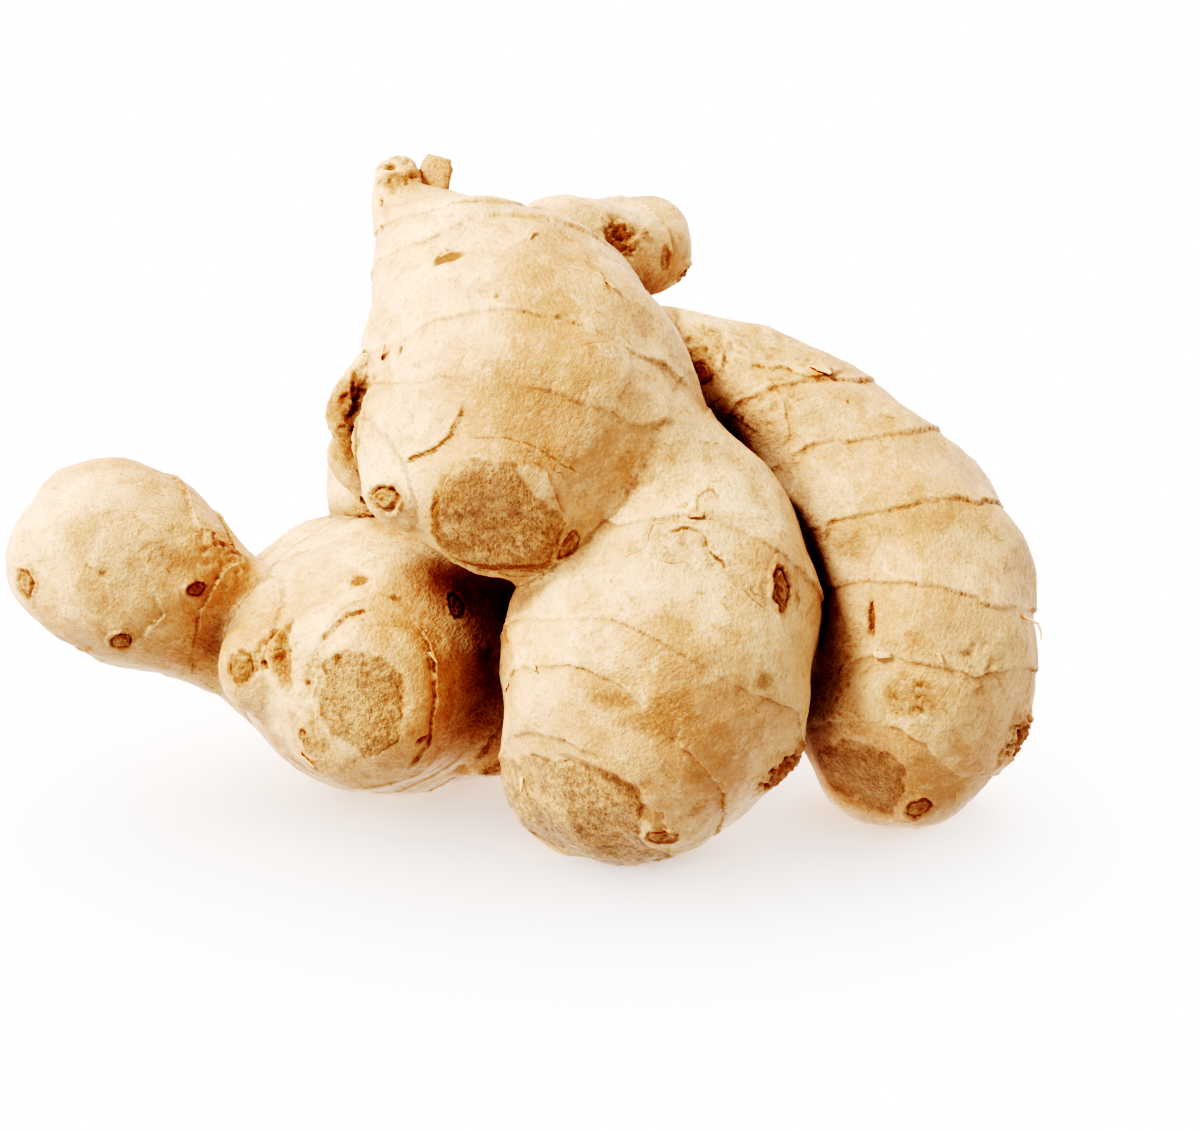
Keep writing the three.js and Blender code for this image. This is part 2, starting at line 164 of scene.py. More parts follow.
# Leaf rings, each followed across the photograph and carried on round the lobe's far side.
RINGS = {
    "top": [
        [(448, 211), (483, 205), (509, 203), (531, 202)],
        [
            (387, 256), (410, 241), (436, 234), (455, 227), (479, 217), (519, 218), (554, 224),
            (585, 251), (601, 277),
        ],
        [(380, 350), (440, 318), (500, 308), (566, 316), (616, 339), (640, 355), (664, 363), (677, 374)],
        [
            (366, 383), (386, 383), (425, 382), (441, 376), (481, 380), (494, 383), (520, 385),
            (544, 390), (573, 399), (603, 410), (614, 415), (631, 426), (648, 424), (661, 420),
        ],
    ],
    "front": [
        [(619, 526), (645, 521), (670, 519), (682, 515), (720, 520), (762, 545)],
        [
            (548, 618), (582, 618), (607, 618), (621, 623), (650, 635), (674, 650), (706, 667),
            (737, 686), (769, 699), (791, 708),
        ],
        [
            (515, 669), (544, 665), (568, 665), (590, 670), (621, 688), (631, 698), (655, 722),
            (674, 739), (691, 756), (716, 780), (723, 797),
        ],
        [(517, 732), (544, 734), (575, 745), (607, 759), (621, 776), (655, 805)],
    ],
    "right": [
        [(722, 429), (739, 406), (753, 397), (775, 388), (820, 378), (860, 378)],
        [
            (753, 491), (774, 468), (791, 455), (812, 445), (831, 440), (855, 439), (890, 433),
            (904, 432), (930, 430),
        ],
        [
            (800, 538), (819, 526), (845, 517), (878, 512), (904, 506), (940, 500), (961, 500),
            (977, 505), (984, 500),
        ],
        [
            (830, 586), (860, 582), (887, 583), (909, 582), (937, 588), (952, 593), (972, 595),
            (983, 604), (1002, 607), (1020, 608),
        ],
        [
            (813, 671), (850, 663), (872, 656), (898, 658), (909, 662), (928, 666), (950, 668),
            (976, 677), (1015, 668), (1030, 668),
        ],
        [(808, 729), (824, 725), (839, 723), (863, 720), (898, 730), (924, 743), (937, 758), (952, 773)],
    ],
    "knob": [
        [(288, 559), (306, 547), (327, 541)],
        [(295, 641), (298, 616), (306, 602), (341, 577), (367, 565), (388, 559), (408, 558)],
        [(312, 704), (311, 683), (320, 645), (341, 610), (355, 600), (373, 594), (388, 593), (404, 600)],
    ],
    "left": [
        [
            (111, 631), (109, 614), (108, 594), (103, 576), (86, 564), (100, 533), (98, 503),
            (103, 486), (141, 481), (182, 490),
        ],
        [(138, 639), (162, 614), (141, 556), (149, 543), (176, 541), (196, 533)],
        [(191, 664), (201, 611), (222, 569), (239, 562)],
    ],
}

# The same for lobes whose rings don't show: distances back from the last centre, mm.
HIDDEN_RINGS = {"body": [7, 18, 29], "heel": [0], "hind": [2], "shoulder": [3], "nub": [-2, 1.5]}

# Torn edges and cracks: the path in the photograph, how far the skin on the left of it stands above
# the skin on its right (mm), and how dark the line is: brown, and painted shadow under the lip.
CRACKS = {
    "peeled_edge": ([(399, 465), (416, 456), (431, 450), (447, 439), (455, 422), (461, 401)], 0.8, 1.0),
    "belly_ring": (
        [(463, 438), (490, 437), (507, 438), (525, 441), (542, 449), (568, 470), (588, 476)], -0.3, 0.8,
    ),
    "scar_rim": ([(458, 463), (447, 480), (440, 500), (434, 515), (435, 537), (447, 553)], 0.3, 0.9),
    "scar_foot": ([(447, 556), (480, 566), (512, 571), (546, 573)], -0.25, 0.8),
    "scar_fold": ([(520, 461), (533, 461), (546, 470), (549, 478), (555, 498), (564, 515)], -0.25, 0.6),
    "scar_fold_branch": ([(557, 448), (549, 454), (544, 463)], 0.1, 0.6),
    "patch_top": ([(562, 346), (579, 354), (581, 344), (603, 342), (620, 350)], -0.15, 0.6),
    "patch_side": ([(620, 350), (621, 357), (614, 378), (605, 387)], 0.15, 0.6),
    "shoulder_tear": ([(582, 256), (590, 269), (601, 277), (611, 296)], -0.3, 0.8),
    "shoulder_line": ([(547, 315), (568, 317), (582, 324), (590, 329)], -0.15, 0.5),
    "stub_line": ([(390, 279), (401, 269), (412, 262)], -0.15, 0.6),
    "side_line": ([(434, 272), (424, 282), (415, 291), (413, 300)], 0.15, 0.5),
    "front_zig": (
        [(682, 515), (670, 522), (655, 526), (650, 538), (645, 550), (631, 555), (621, 559)], 0.5, 1.2,
    ),
    "front_rag": (
        [(665, 532), (689, 528), (701, 532), (708, 545), (713, 555), (723, 560), (727, 577)], 0.5, 1.1,
    ),
    "front_high": ([(696, 528), (697, 495), (711, 488), (725, 502)], 0.15, 0.6),
    "front_ring": ([(655, 560), (687, 562), (694, 570)], -0.3, 0.8),
    "front_band": ([(723, 577), (742, 589), (759, 606), (769, 612)], -0.5, 1.0),
    "bud_fold": ([(764, 570), (761, 589), (769, 606)], -0.15, 0.5),
    "bud_fold_right": ([(790, 589), (800, 601), (795, 616)], 0.15, 0.5),
    "right_jag": (
        [(758, 382), (770, 381), (777, 394), (784, 403), (789, 422), (789, 436), (781, 450)], -0.2, 0.6,
    ),
    "right_fold": ([(704, 415), (713, 403), (720, 396)], -0.3, 0.8),
    "right_ridge": ([(876, 510), (880, 540), (868, 562), (872, 590)], 0.15, 0.3),
    "torn_flap": (
        [
            (748, 369), (752, 364), (769, 366), (782, 363), (790, 367), (805, 376), (822, 377),
            (838, 371), (846, 368),
        ],
        0.45, 1.0,
    ),
    "shoulder_nick": ([(757, 384), (771, 381)], 0.3, 0.9),
    "shoulder_nick_low": ([(790, 405), (807, 397)], 0.3, 0.8),
    "neck_ridge": ([(697, 322), (712, 330), (722, 331)], 0.35, 0.8),
    "neck_ridge_right": ([(731, 331), (742, 336), (752, 335)], 0.3, 0.6),
    "neck_ridge_far": ([(762, 341), (777, 346), (787, 350)], 0.25, 0.6),
    "neck_mound": ([(716, 376), (722, 366), (724, 350), (716, 345), (706, 352)], 0.35, 0.7),
    "peeled_neck": ([(727, 424), (732, 412), (740, 403), (745, 400), (757, 398), (755, 388)], 0.3, 0.9),
    "crust_seam": ([(371, 355), (362, 372), (357, 385), (357, 399)], 0.4, 1.0),
    "crust_waist": ([(336, 414), (346, 410), (356, 415)], 0.3, 0.9),
    "crust_streak": ([(344, 432), (350, 446), (357, 466)], 0.2, 0.9),
    "corner_tear": ([(398, 492), (404, 503), (402, 512)], 0.3, 0.8),
    "stub_cut": ([(383, 168), (389, 166), (391, 160)], 0.25, 0.8),
    "stub_slope": ([(412, 172), (424, 176), (420, 170)], 0.2, 0.6),
    "tip_wing": ([(434, 262), (440, 249), (452, 246), (459, 242)], 0.4, 0.9),
    "right_nick": ([(876, 410), (888, 417), (899, 421)], 0.2, 0.7),
    "right_short": ([(860, 568), (861, 579)], 0.2, 0.8),
    "knob_arc": ([(320, 645), (331, 630), (347, 616), (363, 612), (373, 610)], 0.8, 1.3),
    "knob_arc_right": ([(371, 628), (384, 626), (398, 627), (412, 628), (437, 627)], -0.15, 0.5),
    "knob_left": ([(319, 648), (312, 676), (311, 704)], 0.8, 1.4),
    "knob_right": ([(412, 622), (428, 645), (436, 675), (437, 705), (428, 742), (405, 768)], 0.5, 1.1),
    "knob_bottom": ([(311, 704), (314, 724), (320, 745), (333, 758), (352, 772)], 0.7, 1.1),
    "nub_groove": ([(291, 622), (285, 645), (283, 668), (287, 690), (296, 706)], 0.7, 1.3),
    "flap_line": ([(422, 651), (431, 661), (435, 679)], 0.3, 0.8),
    "left_crack": ([(93, 554), (86, 564), (103, 576), (108, 565)], 0.2, 0.8),
    "left_side": ([(108, 528), (116, 523), (128, 520), (143, 514), (166, 511), (179, 509)], -0.2, 0.5),
    "left_loop": ([(141, 556), (141, 548), (149, 543), (161, 545)], 0.15, 0.5),
    "left_low": ([(192, 675), (191, 664), (196, 639), (201, 611)], 0.2, 0.5),
    "left_neck": ([(199, 526), (209, 528), (217, 534)], -0.4, 1.0),
    "left_neck_low": ([(211, 546), (220, 547), (229, 551)], -0.3, 0.9),
}

# Buds and bud scars: pixel, half width and half height across the photograph (mm), lean in degrees
# to the right, how sunk the ring is and how far the middle stands up (mm).
BUDS = {
    "left_tip": ((26, 584), 1.6, 2.4, 10, 0.7, 0.5),
    "left_low": ((121, 639), 1.5, 1.8, 20, 0.9, 0.6),
    "left_neck": ((197, 589), 1.6, 1.0, 0, 0.7, 0.5),
    "nub": ((243, 668), 1.6, 2.2, 5, 0.35, 0.4),
    "knob_low": ((304, 739), 0.8, 1.4, -15, 0.7, 0.3),
    "knob_corner": ((496, 765), 2.4, 1.6, 0, 0.6, 0.6),
    "knob_side": ((458, 606), 1.3, 1.9, -15, 0.8, 0.4),
    "knob_back": ((506, 637), 1.5, 1.9, -15, 0.8, 0.5),
    "top_corner": ((384, 499), 2.3, 1.9, -10, 0.9, 0.5),
    "top_right": ((567, 540), 1.4, 2.4, 15, 0.5, 0.9),
    "front_side": ((780, 590), 1.6, 2.9, -12, 0.7, 0.8),
    "front_dark": ((779, 768), 2.8, 3.2, 35, 1.1, 1.0),
    "front_foot": ((662, 831), 2.3, 1.7, -15, 0.7, 0.7),
    "right_neck": ((701, 373), 1.7, 1.7, 0, 0.5, 0.5),
    "right_edge": ((1016, 738), 2.4, 3.9, 12, 1.3, 1.0),
    "right_foot": ((919, 804), 1.8, 1.8, 0, 0.6, 0.4),
}

# Buds that the photograph doesn't show: the lobe, how far back from its last centre (mm), degrees
# round it from its uppermost side, and radius (mm).
HIDDEN_BUDS = [
    ("left", 14, 95, 2.3),
    ("top", 18, 150, 2.4),
    ("right", 20, 170, 2.5),
    ("right", 38, -130, 2.4),
    ("body", 26, -160, 2.6),
    ("heel", -7, 60, 2.4),
    ("hind", -2.6, 121, 1.8),
    ("front", 30, 150, 2.2),
]
HIDDEN_BUD_RELIEF = (0.7, 0.7)  # how sunk their rings are and how far their middles stand up, mm

# Flat corky ends: the lobe, the way the scar faces and its radius (None where the outline gives both),
# how deep its middle lies below the skin, the radius of its dome, how far the flat reaches past the
# cork (all mm), and the cork's outline in the photograph.
SCARS = {
    "top": (
        None, None, 1.3, 40, 0.0,
        [
            (447, 483), (458, 463), (468, 459), (512, 460), (521, 472), (524, 487), (540, 498),
            (555, 511), (558, 519), (553, 537), (549, 552), (544, 572), (510, 568), (468, 562),
            (445, 550), (435, 537), (434, 515), (440, 500),
        ],
    ),
    "knob": (
        None, None, 1.1, 45, 2.8,
        [
            (328, 664), (345, 652), (366, 650), (388, 660), (402, 680), (406, 710), (396, 736),
            (374, 750), (348, 746), (330, 728), (321, 700),
        ],
    ),
    "front": (
        None, None, 0.5, 26, 0.8,
        [
            (466, 768), (508, 758), (532, 753), (564, 766), (590, 774), (612, 780), (628, 790),
            (640, 808), (638, 836), (664, 936), (580, 950), (490, 905), (445, 835),
        ],
    ),
    "right": (
        None, None, 0.6, 28, 0.0,
        [
            (806, 772), (822, 750), (845, 742), (872, 746), (890, 755), (905, 770), (902, 790),
            (893, 812), (870, 822), (842, 818), (820, 806), (806, 790),
        ],
    ),
    "heel": ([0.35, 0.9, 0.1], 5.6, 1.0, 60, 0.0, None),
    "shoulder": ([-0.75, 0.55, 0.35], 4.0, 0.8, 60, 0.0, None),
}

RINGED_SCARS = ["knob"]  # with old circles round the cork
CIRCLE_STEP = 1.5  # from one circle to the next, mm

# Stains and pits: pixel, half width and half height (mm), how deep (mm) and how brown.
STAINS = {
    "torn_hole": ((446, 256), 2.1, 1.3, 0.25, 1.5),
    "knob_spot": ((358, 579), 1.4, 1.1, 0.15, 0.8),
    "knob_pit": ((339, 658), 0.6, 0.6, 0.35, 0.8),
    "knob_pit_low": ((307, 683), 0.5, 0.6, 0.3, 0.8),
    "knob_mark": ((397, 596), 1.0, 0.5, 0.2, 0.6),
    "slot": ((872, 618), 0.45, 2.6, 0.6, 0.9),
    "patch_brown": ((909, 696), 4.4, 3.0, 0.0, 0.45),
    "front_amber": ((614, 700), 3.6, 1.3, 0.0, 0.55),
    "front_amber_low": ((648, 722), 4.2, 2.0, 0.0, 0.45),
    "front_band": ((672, 715), 3.4, 3.6, 0.0, 0.35),
    "front_speck": ((762, 681), 1.4, 1.5, 0.1, 0.4),
    "front_foot_orange": ((645, 814), 1.5, 1.6, 0.1, 0.5),
    "quad": ((852, 545), 2.2, 1.8, 0.0, 0.35),
    "hind_scar": ((618, 240), 2.6, 3.4, 0.6, 0.7),
    "hind_hollow": ((662, 256), 1.2, 1.6, 0.4, 0.4),
    "stub_brown": ((397, 181), 1.9, 1.2, 0.35, 0.6),
    "crust_body": ((340, 400), 2.4, 3.4, 0.1, 0.5),
    "crust_lower": ((347, 437), 2.0, 3.6, 0.1, 0.55),
    "scar_left_rim": ((438, 520), 0.8, 4.8, 0.1, 0.8),
    "scar_foot_dark": ((500, 566), 6.0, 0.9, 0.1, 0.9),
    "crust_seam": ((357, 388), 0.8, 2.6, 0.4, 0.9),
    "nub_patch": ((285, 655), 2.0, 5.0, 1.5, 0.6),
    "crust_grey": ((342, 403), 1.0, 1.0, 0.25, 0.6),
    "crust_low": ((352, 440), 1.3, 2.6, 0.2, 0.7),
    "crust_tail": ((360, 462), 0.9, 2.2, 0.3, 0.9),
    "scar_dark": ((455, 492), 2.0, 2.6, 0.1, 0.4),
    "scar_dark_low": ((452, 545), 2.2, 1.6, 0.1, 0.5),
    "scar_edge_right": ((548, 562), 2.0, 1.0, 0.15, 0.5),
    "neck_shade": ((703, 362), 2.4, 3.2, 0.2, 0.45),
    "stub_groove": ((388, 168), 0.9, 0.4, 0.3, 0.7),
    "pit_a": ((397, 348), 0.45, 0.7, 0.35, 0.8),
    "pit_b": ((497, 296), 0.4, 0.4, 0.25, 0.6),
    "pit_c": ((381, 228), 0.4, 0.7, 0.3, 0.9),
    "pit_d": ((380, 202), 0.4, 0.7, 0.3, 0.9),
    "pit_e": ((848, 402), 0.3, 0.4, 0.2, 0.7),
    "pit_f": ((744, 418), 0.3, 0.4, 0.2, 0.7),
    "knob_shaded_cut": ((421, 739), 1.3, 0.4, 0.3, 0.8),
}

# Where the skin is painted paler or browner than elsewhere: pixel, reach (mm) and how much.
# Partly the skin's own colour, as on the crust and scars; partly painted highlight and shade.
TONE_AND_LIGHT_DRIFTS = {
    "front_left": ((570, 600), 11, 1.1),
    "front_left_low": ((545, 690), 7, 0.6),
    "front_middle": ((655, 700), 8, -1.1),
    "front_low": ((650, 765), 9, -0.9),
    "front_right": ((765, 650), 7, 0.4),
    "belly": ((505, 420), 10, -1.1),
    "belly_left": ((400, 425), 8, 0.8),
    "crown_left": ((400, 310), 9, 0.7),
    "crown": ((550, 290), 9, -0.6),
    "tip": ((430, 225), 7, 0.4),
    "right_top": ((800, 360), 10, -0.8),
    "right_low": ((905, 770), 9, -0.8),
    "right_far": ((995, 570), 9, 0.8),
    "knob_top": ((330, 560), 11, 0.8),
    "left_middle": ((90, 560), 13, 0.5),
    "corner": ((405, 535), 5, -0.8),
    "crust": ((345, 425), 6, -2.4),
    "right_brown": ((925, 615), 5, -0.9),
    "scar_top": ((500, 515), 8, -1.3),
    "scar_right": ((850, 785), 8, -1.5),
    "scar_knob": ((362, 700), 9, 0.4),
}

# Where the skin is crumpled or pleated: pixel, radius and height of the folds (mm), and how brown.
CRUMPLES = {
    "stub": ((396, 168), 4.5, 0.6, 0.9),
    "right_neck": ((712, 345), 6.0, 0.5, 0.4),
    "right_neck_low": ((770, 395), 5.0, 0.3, 0.4),
    "right_shoulder": ((790, 355), 6.0, 0.25, 0.3),
    "left_neck": ((222, 556), 5.0, 0.35, 0.5),
    "dried_bud": ((346, 415), 7.0, 0.5, 1.0),
    "hind": ((620, 242), 4.4, 0.7, 0.9),
    "front_bud": ((779, 768), 4.6, 0.8, 1.2),
    "right_bud": ((1015, 738), 4.8, 0.9, 1.2),
    "right_patch": ((909, 700), 4.6, 0.2, 0.8),
    "knob_bud": ((496, 768), 3.0, 0.3, 0.6),
    "nub_side": ((278, 650), 4.5, 0.6, 1.2),
    "top_edge": ((368, 385), 3.5, 0.3, 0.5),
    "front_crown": ((700, 535), 5.0, 0.2, 0.3),
    "right_tears": ((980, 665), 5.0, 0.2, 0.3),
    "knob_foot": ((320, 765), 3.0, 0.3, 0.5),
}
PLEATS = {
    "belly": ((480, 412), 7.0, 0.12),
    "belly_right": ((575, 450), 5.5, 0.12),
    "over_ring": ((465, 355), 6.0, 0.14),
    "right_mid": ((880, 640), 9.0, 0.07),
    "front_mid": ((650, 640), 9.0, 0.06),
}

BEAD = 0.7  # spacing of the round swellings along a smoothed chain
JOIN = 6.0  # reach of the fillet where a lobe grows out of another
TOUCH = 0.8  # reach of the fillet where two lobes only touch


def unit(vector):
    vector = np.asarray(vector, float)
    return vector / np.linalg.norm(vector, axis=-1, keepdims=True)


def length(vectors):
    return np.linalg.norm(vectors, axis=-1)


def tree_of(points, triangles):
    return BVHTree.FromPolygons(points.tolist(), triangles.tolist())


def smooth(low, high, value):
    """0 at low, 1 at high and smooth between."""
    share = np.clip((value - low) / (high - low), 0, 1)
    return share * share * (3 - 2 * share)


def hump(value, middle, width):
    """1 at the middle, fading to 0 on both sides."""
    return np.exp(-(((value - middle) / width) ** 2))


def columns(*values):
    return np.stack(values, axis=1)


def catmull(a, b, c, d, t):
    """The smooth curve from b, where t is 0, to c, where it is 1, on its way from a to d."""
    return b + 0.5 * t * (c - a + t * (2 * a - 5 * b + 4 * c - d + t * (3 * (b - c) + d - a)))


# ---------------------------------------------------------------- noise


def scatter(cells, seed):
    """A whole number that looks random for each lattice cell."""
    mixed = cells.astype(np.int64) * np.array([374761393, 668265263, 1274126177], np.int64)
    value = (mixed.sum(1) + seed * 362437) & 0xFFFFFFFF
    value = ((value ^ (value >> 13)) * 1103515245) & 0xFFFFFFFF
    value = ((value ^ (value >> 16)) * 2654435761) & 0xFFFFFFFF
    return value ^ (value >> 15)


TURNS = 2 * math.pi * np.arange(16) / 16
TILTS = np.arcsin(np.linspace(-0.9, 0.9, 16))[np.argsort(np.sin(7 * np.arange(16)))]
SLOPES = columns(np.cos(TURNS) * np.cos(TILTS), np.sin(TURNS) * np.cos(TILTS), np.sin(TILTS))


def noise(points, wavelength, seed):
    """Smooth random waves, from about -1 to 1, at points or at numbers along a line."""
    points = np.asarray(points, float)
    if points.ndim == 1:
        points = columns(points, np.full(len(points), 0.37), np.full(len(points), 0.71))
    place = points / wavelength
    cell = np.floor(place)
    inside = place - cell
    ease = inside**3 * (inside * (inside * 6 - 15) + 10)
    total = np.zeros(len(points))
    for corner in np.ndindex(2, 2, 2):
        corner = np.array(corner)
        slope = SLOPES[scatter(cell + corner, seed) & 15]
        weight = np.prod(np.where(corner, ease, 1 - ease), axis=1)
        total += weight * ((inside - corner) * slope).sum(1)
    return 1.6 * total


def rough(points, wavelength, seed, octaves=3):
    """Noise with finer and weaker waves on top."""
    total = 0
    for k in range(octaves):
        total = total + noise(points, wavelength / 2**k, seed + k) / 2**k
    return total


# ---------------------------------------------------------------- the smooth form


class Lobe:
    """One lobe: its beads and the coordinates along and round it."""

    def __init__(self, name, chain, square_to, joins=(), fillet=JOIN):
        points = np.array(chain, float)
        padded = np.vstack([points[:1], points, points[-1:]])
        rows = [points[0]]
        for i in range(len(points) - 1):
            steps = math.ceil(np.linalg.norm(points[i + 1, :3] - points[i, :3]) / BEAD)
            for k in range(1, steps + 1):
                rows.append(catmull(*padded[i : i + 4], k / steps))
        rows = np.array(rows)
        steps = length(np.diff(rows[:, :3], axis=0))
        self.name = name
        self.joins = joins
        self.fillet = fillet
        self.centres = rows[:, :3]
        self.radii = rows[:, 3]
        self.along = np.concatenate([[0], np.cumsum(steps)])
        self.length = self.along[-1]
        self.girth = float(np.median(self.radii))
        self.square_to = unit(square_to)

    def section(self, along):
        """Centre, heading, uppermost side and aside of the sections at distances along."""
        share = np.clip(along / self.length, 0, 1)[:, None]
        heading = unit(self.square_to[0] * (1 - share) + self.square_to[1] * share)
        centre = columns(*[np.interp(along, self.along, self.centres[:, k]) for k in range(3)])
        centre += heading * (np.maximum(along - self.length, 0) + np.minimum(along, 0))[:, None]
        above = unit(np.array([0.0, 0.0, 1.0]) - heading * heading[:, 2:])
        return centre, heading, above, np.cross(heading, above)

    def coordinates(self, points, beads):
        """Distance along, turn in radians and distance out from the middle, of each point."""
        along = self.along[beads].astype(float)
        low, high = -self.radii[0], self.length + self.radii[-1]
        for _ in range(6):
            centre, heading, _, _ = self.section(along)
            along = np.clip(along + 0.8 * ((points - centre) * heading).sum(1), low, high)
        centre, heading, above, aside = self.section(along)
        arm = points - centre
        turn = np.arctan2((arm * aside).sum(1), (arm * above).sum(1))
        return along, turn, np.hypot((arm * aside).sum(1), (arm * above).sum(1))


CHUNK = 20000  # points handled at once


class Form:
    """The smooth skin round all the lobes: joined ones flow together, others meet in a crease."""

    def __init__(self, table):
        self.lobes = [Lobe(name, **row) for name, row in table.items()]
        self.index = {lobe.name: i for i, lobe in enumerate(self.lobes)}
        self.pairs = []
        for b, lobe in enumerate(self.lobes):
            for a, other in enumerate(self.lobes[:b]):
                joined = other.name in lobe.joins or lobe.name in other.joins
                self.pairs.append((a, b, min(lobe.fillet, other.fillet) if joined else TOUCH))

    def lobe(self, name):
        return self.lobes[self.index[name]]

    def gaps(self, points):
        """For each lobe, the distance from each point to its skin, and its nearest bead."""
        gaps = np.empty((len(self.lobes), len(points)))
        beads = np.empty((len(self.lobes), len(points)), int)
        for start in range(0, len(points), CHUNK):
            part = points[start : start + CHUNK]
            square = (part**2).sum(1)[:, None]
            for i, lobe in enumerate(self.lobes):
                distance = square - 2 * part @ lobe.centres.T + (lobe.centres**2).sum(1)
                distance = np.sqrt(np.maximum(distance, 0)) - lobe.radii
                nearest = distance.argmin(1)
                beads[i, start : start + CHUNK] = nearest
                gaps[i, start : start + CHUNK] = distance[np.arange(len(part)), nearest]
        return gaps, beads

    def measure(self, points):
        """Distance to the smooth skin and the way out of it."""
        gaps, beads = self.gaps(points)
        best = np.full(len(points), np.inf)
        first = np.zeros(len(points), int)
        second = np.zeros(len(points), int)
        share = np.zeros(len(points))
        for a, b, reach in self.pairs:
            lean = gaps[a] - gaps[b]
            near = np.maximum(reach - np.abs(lean), 0) / reach
            value = np.minimum(gaps[a], gaps[b]) - near**2 * reach / 4
            closer = value < best
            best[closer] = value[closer]
            first[closer] = np.where(lean < 0, a, b)[closer]
            second[closer] = np.where(lean < 0, b, a)[closer]
            share[closer] = near[closer] / 2
        out = np.zeros((len(points), 3))
        for i, lobe in enumerate(self.lobes):
            for which, weight in ((first, 1 - share), (second, share)):
                own = which == i
                ways = unit(points[own] - lobe.centres[beads[i, own]])
                out[own] += ways * weight[own, None]
        return best, unit(out)

    def settle(self, points, steps=3):
        """Moves points onto the smooth skin."""
        for _ in range(steps):
            gap, out = self.measure(points)
            points = points - out * gap[:, None]
        return points


# ---------------------------------------------------------------- meshes


def mesh_arrays(mesh):
    """The corners of a mesh in lobe millimetres, and its faces as triangles."""
    corners = np.empty(len(mesh.vertices) * 3)
    mesh.vertices.foreach_get("co", corners)
    mesh.calc_loop_triangles()
    triangles = np.empty(len(mesh.loop_triangles) * 3, int)
    mesh.loop_triangles.foreach_get("vertices", triangles)
    return corners.reshape(-1, 3) / MM + ORIGIN, triangles.reshape(-1, 3)


def set_corners(mesh, points):
    mesh.vertices.foreach_set("co", ((points - ORIGIN) * MM).ravel())
    mesh.update()


def normals_of(points, triangles):
    """The way out at each corner, from the faces round it."""
    a, b, c = (points[triangles[:, k]] for k in range(3))
    face = np.cross(b - a, c - a)
    total = np.zeros_like(points)
    for k in range(3):
        for axis in range(3):
            total[:, axis] += np.bincount(triangles[:, k], face[:, axis], len(points))
    return unit(total + 1e-12)


def with_modifier(obj, kind, **settings):
    """Gives the object its own mesh with one modifier applied."""
    modifier = obj.modifiers.new(kind, kind)
    for key, value in settings.items():
        setattr(modifier, key, value)
    depsgraph = bpy.context.evaluated_depsgraph_get()
    mesh = bpy.data.meshes.new_from_object(obj.evaluated_get(depsgraph))
    obj.modifiers.clear()
    obj.data = mesh


def new_object(name, data):
    obj = bpy.data.objects.new(name, data)
    bpy.context.scene.collection.objects.link(obj)
    return obj


# ---------------------------------------------------------------- from the photograph to the skin


class Sight:
    """Finds the places on the smooth skin that the photograph's pixels show."""

    def __init__(self, form, points, triangles):
        self.form = form
        self.tree = tree_of(points, triangles)

    def place(self, pixel):
        """The point on the skin that a pixel shows, or the nearest one where it shows none."""
        way = self.ray(pixel)
        hit = self.tree.ray_cast(Vector(EYE), Vector(way))[0]
        if hit is None:
            hit = self.tree.find_nearest(Vector(EYE + way * CAMERA_DISTANCE))[0]
        return np.array(hit)

    def ray(self, pixel):
        across = (pixel[0] - PHOTO_MIDDLE[0]) / PHOTO_SCALE
        down = (pixel[1] - PHOTO_MIDDLE[1]) / PHOTO_SCALE
        return unit(CAMERA_DISTANCE * VIEW + across * VIEW_RIGHT - down * VIEW_UP)

    def misses(self, pixel):
        return self.tree.ray_cast(Vector(EYE), Vector(self.ray(pixel)))[0] is None

    def rim(self, outline):
        """An outline of pixels as points on the skin, or level with them where a pixel shows none."""
        spots = np.array([self.place(pixel) for pixel in outline])
        middle = spots.mean(0)
        for i, pixel in enumerate(outline):
            if self.misses(pixel):
                spots[i] = self.level(middle, pixel)
        return spots

    def level(self, spot, pixel):
        """The point that a pixel shows in the upright plane, square to the view, through a spot."""
        way = self.ray(pixel)
        return EYE + way * ((spot - EYE) @ VIEW / (way @ VIEW))

    def frame(self, point, along=VIEW_RIGHT):
        """The way out at a point, and two directions in the skin: one along, one to its left."""
        out = self.form.measure(point[None])[1][0]
        first = unit(along - out * (along @ out))
        return out, first, np.cross(out, first)

    def path(self, pixels, step):
        """A path of pixels as points on the skin, spaced by about step millimetres."""
        rows = []
        for (x, y), (end_x, end_y) in zip(pixels[:-1], pixels[1:]):
            count = max(1, round(math.dist((x, y), (end_x, end_y)) / PHOTO_SCALE / step))
            for k in range(count):
                share = k / count
                rows.append([x + share * (end_x - x), y + share * (end_y - y)])
        rows.append(pixels[-1])
        return np.array([self.place(row) for row in rows])


# ---------------------------------------------------------------- the relief of the skin

STEP_WIDTH = 0.13  # half the width that the drop of a torn edge takes
STEP_REACH = 0.7  # how far off its line the mesh is drawn apart to make room for the drop
LINE_STEP = 0.25  # spacing of the points of a crack
CRACK_REACH = 4  # how far from its line a crack still moves the skin
SCAR_REACH = 4  # how far past its flat a scar still moves the skin
CORK_STRAY = 1.1  # how far the cork's edge strays from its outline
CORK_STRAY_RINGED = 1.9
RAG = 0.3  # how far a torn edge strays
MIX = 2.0  # skin over which one lobe's rings give way to the next lobe's
NOTHING = 3.0  # gap that stands for "no line near", mm
GRAIN_STRETCH = 6  # how many times longer than wide the skin's fibres are
LUMP = 0.45  # height of the flesh's broad lumps, mm
PEEL_STEP = 0.06  # thickness of a layer of the papery skin
FIBRE = 0.03  # height of the skin's fibres
RING_DROP = 0.5  # how far a leaf ring steps down
KNOT_STEP = 1.5  # spacing of the places that a leaf ring is led through
